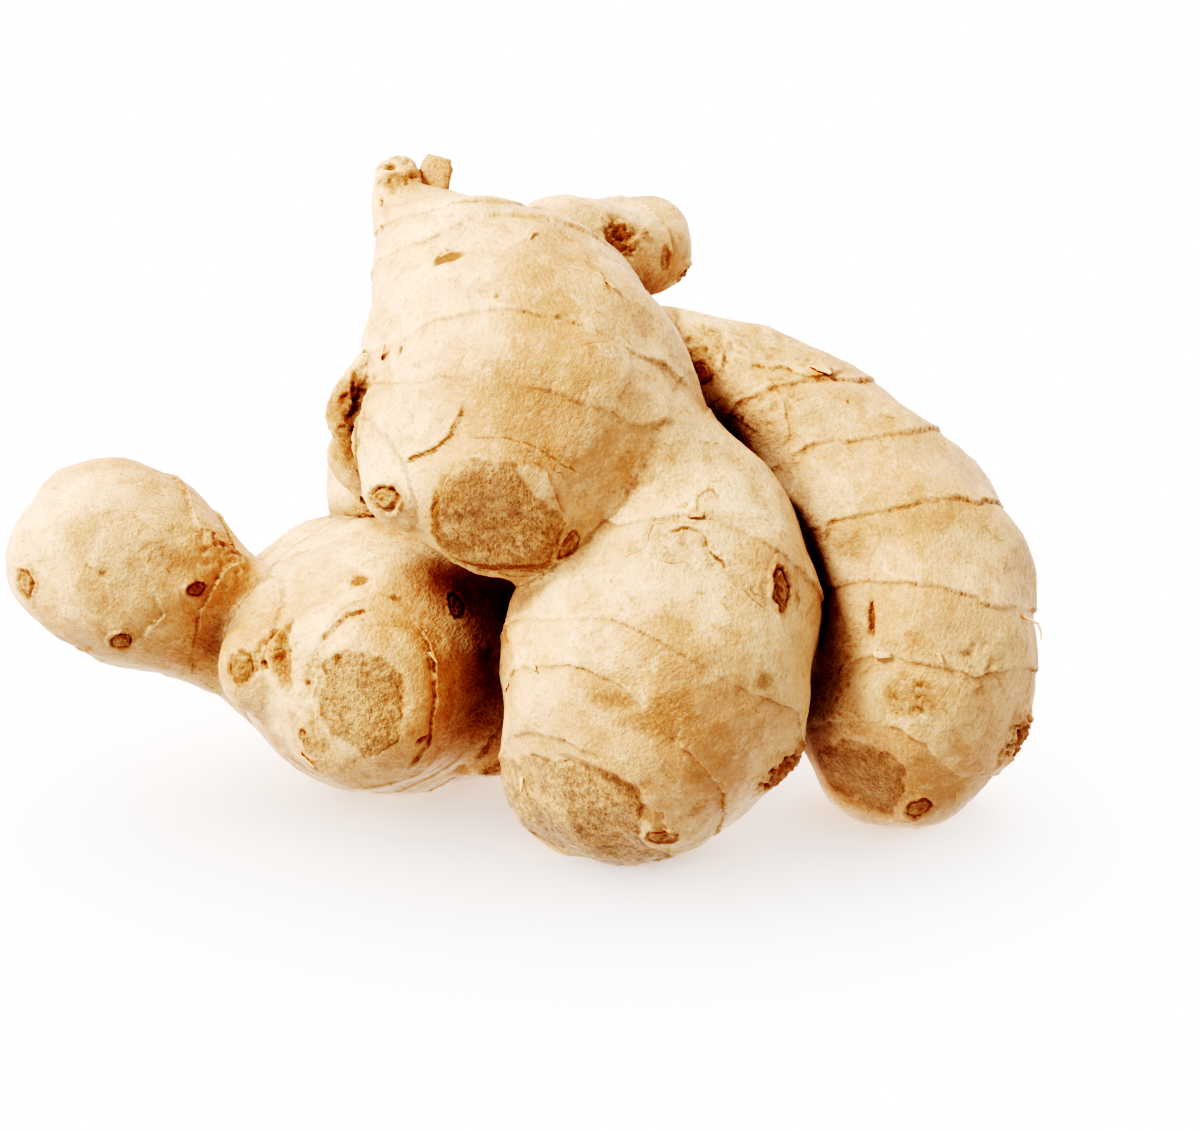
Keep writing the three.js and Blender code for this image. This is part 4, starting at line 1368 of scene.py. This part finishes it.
def ginger_skin():
    """The papery skin with its rings, tears, corky ends, stains and buds."""
    recipe = Recipe("ginger_skin")
    blend, fade, line, mark = recipe.blend, recipe.fade, recipe.line, recipe.mark
    product, total = recipe.product, recipe.total
    ring, force, band = mark("ring_gap"), mark("ring_force"), mark("band")
    crack, tear = mark("crack_gap"), mark("crack_force")
    cork, bud, stain, hollow = mark("cork"), mark("bud"), mark("stain"), mark("hollow")
    tone_and_light, blotch, peel = mark("tone_and_light"), mark("blotch"), mark("peel")
    micro = recipe.cloud(recipe.place, 0.55, 3, 0.7)
    fibre = recipe.cloud(recipe.grain, 0.6, 2, 0.6)
    coarse = recipe.cloud(recipe.place, 2.2, 3, 0.65)
    strand = recipe.cloud(product(recipe.place, (1.0, 1.0, 0.7)), 0.8, 3, 0.75)
    uneven = fade(coarse, 0.36, 0.62)

    # The papery skin: broad drifts, partly painted highlight and shade, torn patches, fibres and flecks.
    bare = fade(peel, PEELS[0] + PEEL_EDGE, PEELS[0] - PEEL_EDGE)
    thick = fade(peel, PEELS[1] - PEEL_EDGE, PEELS[1] + PEEL_EDGE)
    edge = fade(recipe.maths("ABSOLUTE", total(peel, -PEELS[1])), 0.03, 0.008)
    colour = recipe.layers(
        blend(fade(tone_and_light, -0.7, 0.7), TAN, CREAM),
        (PAPER, fade(tone_and_light, 0.4, 1.5), 0.6),
        (ORANGE, fade(tone_and_light, -0.5, -1.6), 0.4),
        (ORANGE, fade(blotch, 0.1, 0.8), 0.4),
        (ORANGE, fade(coarse, 0.5, 0.68), 0.4),
        (PAPER, fade(coarse, 0.48, 0.3), 0.45),
        (PAPER, thick, 0.2),
        (ORANGE, bare, 0.22),
        (RUST, edge, fade(coarse, 0.45, 0.6), 0.35),
        (ORANGE, fade(fibre, 0.54, 0.76), 0.2),
        (ORANGE, fade(micro, 0.5, 0.72), 0.42),
        (PAPER, fade(micro, 0.46, 0.28), 0.35),
        (RUST, fade(micro, 0.66, 0.72), fade(blotch, -0.1, 0.3), 0.7),
    )

    # Leaf rings and torn edges: the band past each is partly painted shade below the step.
    # The brown thread along each ring and edge is partly painted shadow under the lip.
    colour = recipe.layers(
        colour,
        (ORANGE, band, 0.5),
        (RUST, line(total(ring, -0.05), 0.2), force, total(uneven, 0.1), 0.52),
        (RUST, line(total(crack, -0.03), 0.25), tear, total(uneven, 0.3), 0.75),
    )

    # The corky ends, and the stains.
    husk = recipe.layers(
        blend(fade(strand, 0.36, 0.58), CORK_DARK, CORK_PALE),
        (CORK_PALE, fade(tone_and_light, -0.2, 1.0), 0.6),
        (CORK_DARK, fade(tone_and_light, -0.4, -1.4), 0.65),
        (CORK_PALE, fade(coarse, 0.5, 0.3), 0.6),
        (CORK_DARK, fade(coarse, 0.5, 0.66), 0.7),
        (RUST, fade(micro, 0.55, 0.68), 0.75),
    )
    colour = recipe.layers(
        colour,
        (husk, fade(cork, -0.45, 0.45), 0.85),
        (RUST, line(cork, 0.4), uneven, 0.6),
        (RUST, stain, fade(micro, 0.2, 0.5), 1.3),
    )

    # The buds: rings of old scale leaves round a dark eye; the brown in the sunk rings is partly painted
    # shade.
    crevice = product(fade(bud, 1.05, 0.92), fade(bud, 0.66, 0.82))
    inner = product(fade(bud, 0.58, 0.5), fade(bud, 0.32, 0.42), 0.4)
    eye = product(fade(bud, 0.26, 0.12), 0.6)
    colour = recipe.layers(
        colour,
        (ORANGE, fade(bud, 1.5, 0.8), fade(coarse, 0.25, 0.6), 0.85),
        (RUST, fade(bud, 1.2, 0.9), 0.3),
        (RUST, total(crevice, inner, eye), fade(micro, 0.25, 0.55), total(uneven, 0.45)),
    )

    # Painted shade: the colour darkens in the deep creases and near the floor, which are duller too.
    recipe.give("Base Color", blend(fade(hollow, 0.06, 0.52), colour, CREASE_SHADE, "MULTIPLY"))
    dull = total(0.33, product(fibre, 0.3), product(fade(hollow, 0.05, 0.5), 0.3))
    recipe.give("Roughness", dull)
    recipe.give("Specular IOR Level", 0.3)
    recipe.flesh(0.14, 1.0)
    rough_cork = product(fade(cork, -0.5, 0.8), strand, 0.45)
    recipe.bump(total(product(micro, 0.24), product(fibre, 0.17), rough_cork))
    return recipe.material


def husk_paper():
    """The dry, torn edges of the old leaf sheaths."""
    recipe = Recipe("husk_paper")
    micro = recipe.cloud(recipe.place, 0.6, 3, 0.7)
    coarse = recipe.cloud(recipe.place, 2.5, 2, 0.6)
    paper = recipe.blend(recipe.fade(coarse, 0.35, 0.65), TAN, CREAM)
    recipe.give("Base Color", recipe.layers(paper, (ORANGE, recipe.fade(micro, 0.48, 0.7), 0.55)))
    recipe.give("Roughness", 0.6)
    recipe.flesh(0.3, 0.6)
    recipe.bump(recipe.product(micro, 0.15))
    return recipe.material


def husk_brown():
    """Older scraps, dried dark."""
    recipe = Recipe("husk_brown")
    micro = recipe.cloud(recipe.place, 0.6, 3, 0.7)
    recipe.give("Base Color", recipe.blend(recipe.fade(micro, 0.25, 0.55), RUST, TAN))
    recipe.give("Roughness", 0.75)
    recipe.bump(recipe.product(micro, 0.25))
    return recipe.material


# ---------------------------------------------------------------- torn paper along the rings

PAPER_THICK = 0.16  # mm
RIM_STEP = 0.3  # along a ring, mm
RIM_FROM = 0.45  # how far back from the ring a torn rim starts
RIM_REACH = 0.55  # how far the fullest rims reach past it
RIM_LEAST = 0.12  # shorter ones are left out
RIM_STEPS = 6  # the fewest steps that make a rim
OFF_THE_LOBE = 9  # where the search for the skin starts, mm past the lobe's usual radius


def thin_piece(name, sheets, material):
    """Closed thin sheets, each a grid of middle points and of ways out, joined in one piece."""
    corners, faces = [], []
    for middle, out in sheets:
        rows, wide = middle.shape[:2]
        base = len(corners)
        count = rows * wide
        half = out * PAPER_THICK / 2
        corners += (middle + half).reshape(-1, 3).tolist() + (middle - half).reshape(-1, 3).tolist()
        grid = base + np.arange(count).reshape(rows, wide)
        for i in range(rows - 1):
            for j in range(wide - 1):
                a, b, c, d = grid[i, j], grid[i + 1, j], grid[i + 1, j + 1], grid[i, j + 1]
                faces.append((a, b, c, d))
                faces.append((d + count, c + count, b + count, a + count))
        edge = [*grid[:, 0], *grid[-1, 1:], *grid[-2::-1, -1], *grid[0, -2:0:-1]]
        for a, b in zip(edge, edge[1:] + edge[:1]):
            faces.append((b, a, a + count, b + count))
    mesh = bpy.data.meshes.new(name)
    corners = (np.array(corners) - ORIGIN) * MM
    mesh.from_pydata(corners.tolist(), [], [tuple(map(int, face)) for face in faces])
    mesh.materials.append(material)
    for polygon in mesh.polygons:
        polygon.use_smooth = True
    obj = new_object(name, mesh)
    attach(obj, "root")
    return obj


def ring_rims(sight, skin):
    """Short ragged rims that stand off the finished skin along the leaf rings."""
    form = sight.form
    bark = tree_of(*mesh_arrays(skin.data))
    sheets = []
    for lobe, knots, seed in ring_knots(form, sight):
        count = int(2 * math.pi * lobe.girth / RIM_STEP)
        turn = np.linspace(-math.pi, math.pi, count)
        place, circle, ragged = ring_course(lobe, knots, turn, seed)
        centre, heading, above, aside = lobe.section(place + ragged - RIM_FROM)
        way = np.cos(turn)[:, None] * above + np.sin(turn)[:, None] * aside
        reach = 0.2 + 0.4 * noise(circle, 1.7, seed + 5) + 0.55 * noise(circle, 0.6, seed + 6)
        reach = RIM_REACH * FAINT.get(lobe.name, 1) ** 2 * np.clip(reach, 0.05, 1.0)
        reach *= smooth(-0.15, 0.3, noise(circle, 6, seed + 7))
        lift = np.clip(0.06 + 0.25 * noise(circle, 2.3, seed + 8), 0.02, 0.35)
        spots = np.full((count, 3), np.nan)
        outs = np.zeros((count, 3))
        for i in range(count):
            start = centre[i] + way[i] * (lobe.girth + OFF_THE_LOBE)
            spot, out = bark.ray_cast(Vector(start), Vector(-way[i]))[:2]
            if spot is not None:
                spots[i], outs[i] = spot, out
        seen = ~np.isnan(spots[:, 0])
        gaps = form.gaps(np.nan_to_num(spots))[0]
        own = form.index[lobe.name]
        seen &= (gaps[own] < gaps.min(0) + 0.4) & (np.abs(gaps[own]) < 2.5) & (reach > RIM_LEAST)
        for first, last in runs(seen, RIM_STEPS):
            part = slice(first, last)
            out = unit(outs[part] + way[part])
            ahead = unit(heading[part] - out * (heading[part] * out).sum(1)[:, None])
            ends = np.minimum(np.arange(last - first), np.arange(last - first)[::-1])
            width = (reach[part] * smooth(-0.5, 3, ends))[:, None]
            raised = (lift[part] * smooth(-0.5, 3, ends))[:, None]
            rows = [
                spots[part] - 0.35 * ahead - 0.10 * out,
                spots[part] - 0.05 * ahead + 0.04 * out,
                spots[part] + (RIM_FROM + 0.3 * width) * ahead + (0.06 + 0.3 * raised * width) * out,
                spots[part] + (RIM_FROM + width) * ahead + (0.05 + raised * width) * out,
            ]
            middle = columns(*rows)
            sheets.append((middle, np.repeat(out[:, None], 4, axis=1)))
    return sheets


def runs(kept, shortest):
    """First and last places of each unbroken run."""
    edges = np.flatnonzero(np.diff(np.concatenate([[0], kept.astype(int), [0]])))
    return [(a, b) for a, b in zip(edges[::2], edges[1::2]) if b - a >= shortest]


skin, sight = make_skin()
skin.data.materials.clear()
skin.data.materials.append(ginger_skin())
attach(skin, "root")
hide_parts("rhizome")

# ---------------------------------------------------------------- loose scraps

# Torn flakes: the pixels of the root and the tip, width, how far the tip lifts off the skin (mm), and
# whether the tip stands free of the skin.
FLAKES = {
    "shoulder_flake": ((522, 244), (534, 234), 1.6, 0.7, False),
    "shoulder_curl": ((602, 274), (611, 294), 1.8, 0.8, False),
    "right_speck": ((958, 792), (955, 803), 0.8, 0.6, False),
    "right_fleck": ((938, 653), (942, 663), 0.7, 0.5, False),
    "right_flap": ((820, 366), (828, 378), 3.4, 0.5, False),
    "front_sliver": ((522, 778), (525, 792), 0.8, 0.5, False),
    "knob_flap": ((431, 652), (435, 664), 0.8, 0.3, False),
    "edge_tear": ((381, 356), (390, 346), 1.0, 0.6, False),
    "low_tear": ((302, 757), (318, 764), 1.4, 0.6, False),
    "ring_tear": ((532, 663), (540, 670), 1.3, 0.5, False),
}
BROWN_FLAKES = {
    "tip_scale": ((434, 187), (440, 156), 4.6, 0.6, True),
    "neck_flake": ((214, 534), (228, 548), 1.8, 0.7, False),
    "hind_tear": ((634, 240), (644, 233), 1.5, 0.7, False),
}
ROOT_HAIR = [(1022, 616), (1031, 620), (1038, 624), (1041, 632), (1041, 640)]
HAIR_THICK = 0.28  # mm
FLAKE_ROWS = 9


def flake(sight, root, tip, width, lift, free, seed):
    """A torn tongue of skin as a grid of points, sunk in the skin at its root."""
    start = sight.place(root)
    out = sight.form.measure(start[None])[1][0]
    end = sight.level(start, tip) if free else sight.place(tip)
    ahead = end - start
    side = unit(np.cross(out, ahead))
    if free:
        out = unit(np.cross(ahead, side))
    shares = np.linspace(-0.12, 1, FLAKE_ROWS)
    places = columns(4 * shares, np.full(FLAKE_ROWS, seed), np.zeros(FLAKE_ROWS))
    ragged = 0.15 if free else 0.3
    bites = [ragged * noise(places, 0.8, seed), ragged * noise(places, 0.8, seed + 1)]
    taper = np.clip(1.15 - 0.4 * shares**2, 0.2, 1) if free else np.clip(1.02 - shares, 0.06, 1) ** 0.7
    rows = []
    for i, share in enumerate(shares):
        rise = -0.3 if share < 0 else 0.1 + lift * share**1.5
        row = []
        for across in np.linspace(-1, 1, 5):
            half = width / 2 * taper[i] * (1 + bites[across > 0][i])
            curl = 0.35 * lift * across**2 * max(share, 0)
            row.append(start + ahead * share + side * half * across + out * (rise + curl))
        rows.append(row)
    middle = np.array(rows)
    return middle, np.broadcast_to(out, middle.shape)


def root_hair(sight):
    """The last of a dried root, standing off the right lobe's edge."""
    start = sight.place(ROOT_HAIR[0])
    path = np.array([start] + [sight.level(start, pixel) for pixel in ROOT_HAIR[1:]])
    curve = bpy.data.curves.new("root_hair", "CURVE")
    curve.dimensions = "3D"
    curve.bevel_depth = HAIR_THICK * MM
    curve.bevel_resolution = 1
    curve.use_fill_caps = True
    spline = curve.splines.new("POLY")
    spline.points.add(len(path) - 1)
    taper = np.linspace(1.0, 0.4, len(path))
    for point, spot, share in zip(spline.points, (path - ORIGIN) * MM, taper):
        point.co = (*spot, 1)
        point.radius = share
    obj = new_object("root_hair", curve)
    obj.data.materials.append(husk)
    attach(obj, "root")
    return obj


def scraps(sight, table, first_seed):
    return [flake(sight, *row, first_seed + 3 * i) for i, row in enumerate(table.values())]


husk = husk_paper()
rim_sheets = ring_rims(sight, skin) + scraps(sight, FLAKES, SEEDS["flakes"])
rims = thin_piece("leaf_ring_rims", rim_sheets, husk)
brown = thin_piece("brown_scraps", scraps(sight, BROWN_FLAKES, SEEDS["brown_flakes"]), husk_brown())
hair = root_hair(sight)

# ---------------------------------------------------------------- floor, light and camera

FLOOR_HALF = 6.0  # metres
FLOOR_GLOW = 0.22  # the floor is lit from below as well, as a photographer's light table is
# The white cards and glowing walls of the studio: the way to each and its strength.
GLOWS = [
    ((0.0, -1.0, 0.0), 0.5),
    ((1.0, 1.0, -1.0), 1.2),
    ((-1.0, 1.0, 1.0), 1.0),
    ((-1.0, 0.6, -1.0), 1.1),
    ((0.0, 1.0, 0.0), 0.5),
    ((1.0, 0.2, 0.3), 0.9),
    ((-1.0, -0.1, 0.35), 0.3),
    ((-0.9, -0.5, -0.6), 0.95),
]
GLOW_EDGE = 0.25  # cosine of the angle from its middle at which a glow ends
KEY_WAY = unit([-0.50, -0.32, 0.80])  # toward the key light
KEY_DISTANCE = 1.3  # metres
KEY_SIZE = 0.26
KEY_POWER = 20.5
WASH_SPREAD = math.radians(130)  # the soft light that whitens the floor alone
WASH_POWER = 3.0


def plain(name, level, glow):
    material = bpy.data.materials.new(name)
    material.use_nodes = True
    shader = material.node_tree.nodes["Principled BSDF"]
    shader.inputs["Base Color"].default_value = (level, level, level, 1)
    shader.inputs["Roughness"].default_value = 0.9
    shader.inputs["Emission Color"].default_value = (1, 1, 1, 1)
    shader.inputs["Emission Strength"].default_value = glow
    return material


def lay_floor():
    """A wide white sheet that glows faintly."""
    mesh = bpy.data.meshes.new("floor")
    corners = [(x * FLOOR_HALF, y * FLOOR_HALF, 0) for x, y in [(-1, -1), (1, -1), (1, 1), (-1, 1)]]
    mesh.from_pydata(corners, [], [(0, 1, 2, 3)])
    mesh.materials.append(plain("floor", 0.9, FLOOR_GLOW))
    floor = new_object("floor", mesh)
    floor.visible_diffuse = False  # its glow whitens the picture's ground, and doesn't light the ginger
    floor.visible_glossy = False
    return floor


def hang_light(name, kind, way, power, lit, **settings):
    """A light in a direction, for the given objects alone."""
    light = bpy.data.lights.new(name, kind)
    light.energy = power
    for setting, value in settings.items():
        setattr(light, setting, value)
    lamp = bpy.data.objects.new(name, light)
    lamp.location = Vector(way * KEY_DISTANCE)
    lamp.rotation_euler = Vector(way).to_track_quat("Z", "Y").to_euler()
    bpy.context.scene.collection.objects.link(lamp)
    receivers = bpy.data.collections.new(name + "_lights")
    for obj in lit:
        receivers.objects.link(obj)
    lamp.light_linking.receiver_collection = receivers


def light_studio(floor, pieces):
    """A sky that glows from each card's way, a key light on the ginger and a wash on the floor."""
    world = bpy.data.worlds.new("studio")
    world.use_nodes = True
    nodes, links = world.node_tree.nodes, world.node_tree.links
    way = nodes.new("ShaderNodeTexCoord")
    total = nodes.new("ShaderNodeValue").outputs[0]
    total.default_value = 0.0
    for direction, strength in GLOWS:
        toward = nodes.new("ShaderNodeVectorMath")
        toward.operation = "DOT_PRODUCT"
        toward.inputs[1].default_value = tuple(unit(direction))
        links.new(way.outputs["Generated"], toward.inputs[0])
        glow = nodes.new("ShaderNodeMapRange")
        glow.interpolation_type = "SMOOTHSTEP"
        glow.inputs["From Min"].default_value = GLOW_EDGE
        glow.inputs["To Max"].default_value = strength
        links.new(toward.outputs["Value"], glow.inputs["Value"])
        added = nodes.new("ShaderNodeMath")
        links.new(total, added.inputs[0])
        links.new(glow.outputs["Result"], added.inputs[1])
        total = added.outputs[0]
    links.new(total, nodes["Background"].inputs["Strength"])
    nodes["Background"].inputs["Color"].default_value = (1, 1, 1, 1)
    bpy.context.scene.world = world
    hang_light("key", "AREA", KEY_WAY, KEY_POWER, pieces, shape="DISK", size=KEY_SIZE)
    hang_light("wash", "SUN", np.array([0.0, 0.0, 1.0]), WASH_POWER, [floor], angle=WASH_SPREAD)


def set_camera():
    lens = bpy.data.cameras.new("camera")
    lens.sensor_fit = "HORIZONTAL"
    lens.angle = 2 * math.atan(PHOTO_SIZE[0] / 2 / PHOTO_SCALE / CAMERA_DISTANCE)
    seat = bpy.data.objects.new("camera", lens)
    seat.location = Vector((EYE - ORIGIN) * MM)
    seat.rotation_euler = (math.pi / 2 - CAMERA_DROP, 0, 0)
    bpy.context.scene.collection.objects.link(seat)
    bpy.context.scene.camera = seat


# How the film answers to light, as pairs of light and level: deep shades fall away, and the brightest
# light is held back.
FILM = [
    (0.0, 0.0), (0.062, 0.003), (0.125, 0.06), (0.151, 0.11), (0.218, 0.24), (0.33, 0.43),
    (0.487, 0.60), (0.73, 0.75), (1.18, 0.90), (1.56, 0.98), (1.7, 1.0),
]


def develop():
    """Sets the view's curve."""
    settings = bpy.context.scene.view_settings
    settings.view_transform = "Standard"
    settings.use_curve_mapping = True
    mapping = settings.curve_mapping
    mapping.extend = "HORIZONTAL"
    whitest = FILM[-1][0]
    mapping.white_level = (whitest, whitest, whitest)
    points = mapping.curves[3].points
    for light, level in FILM[1:-1]:
        points.new(light / whitest, level)
    mapping.update()


light_studio(lay_floor(), [skin, rims, brown, hair])
set_camera()
develop()
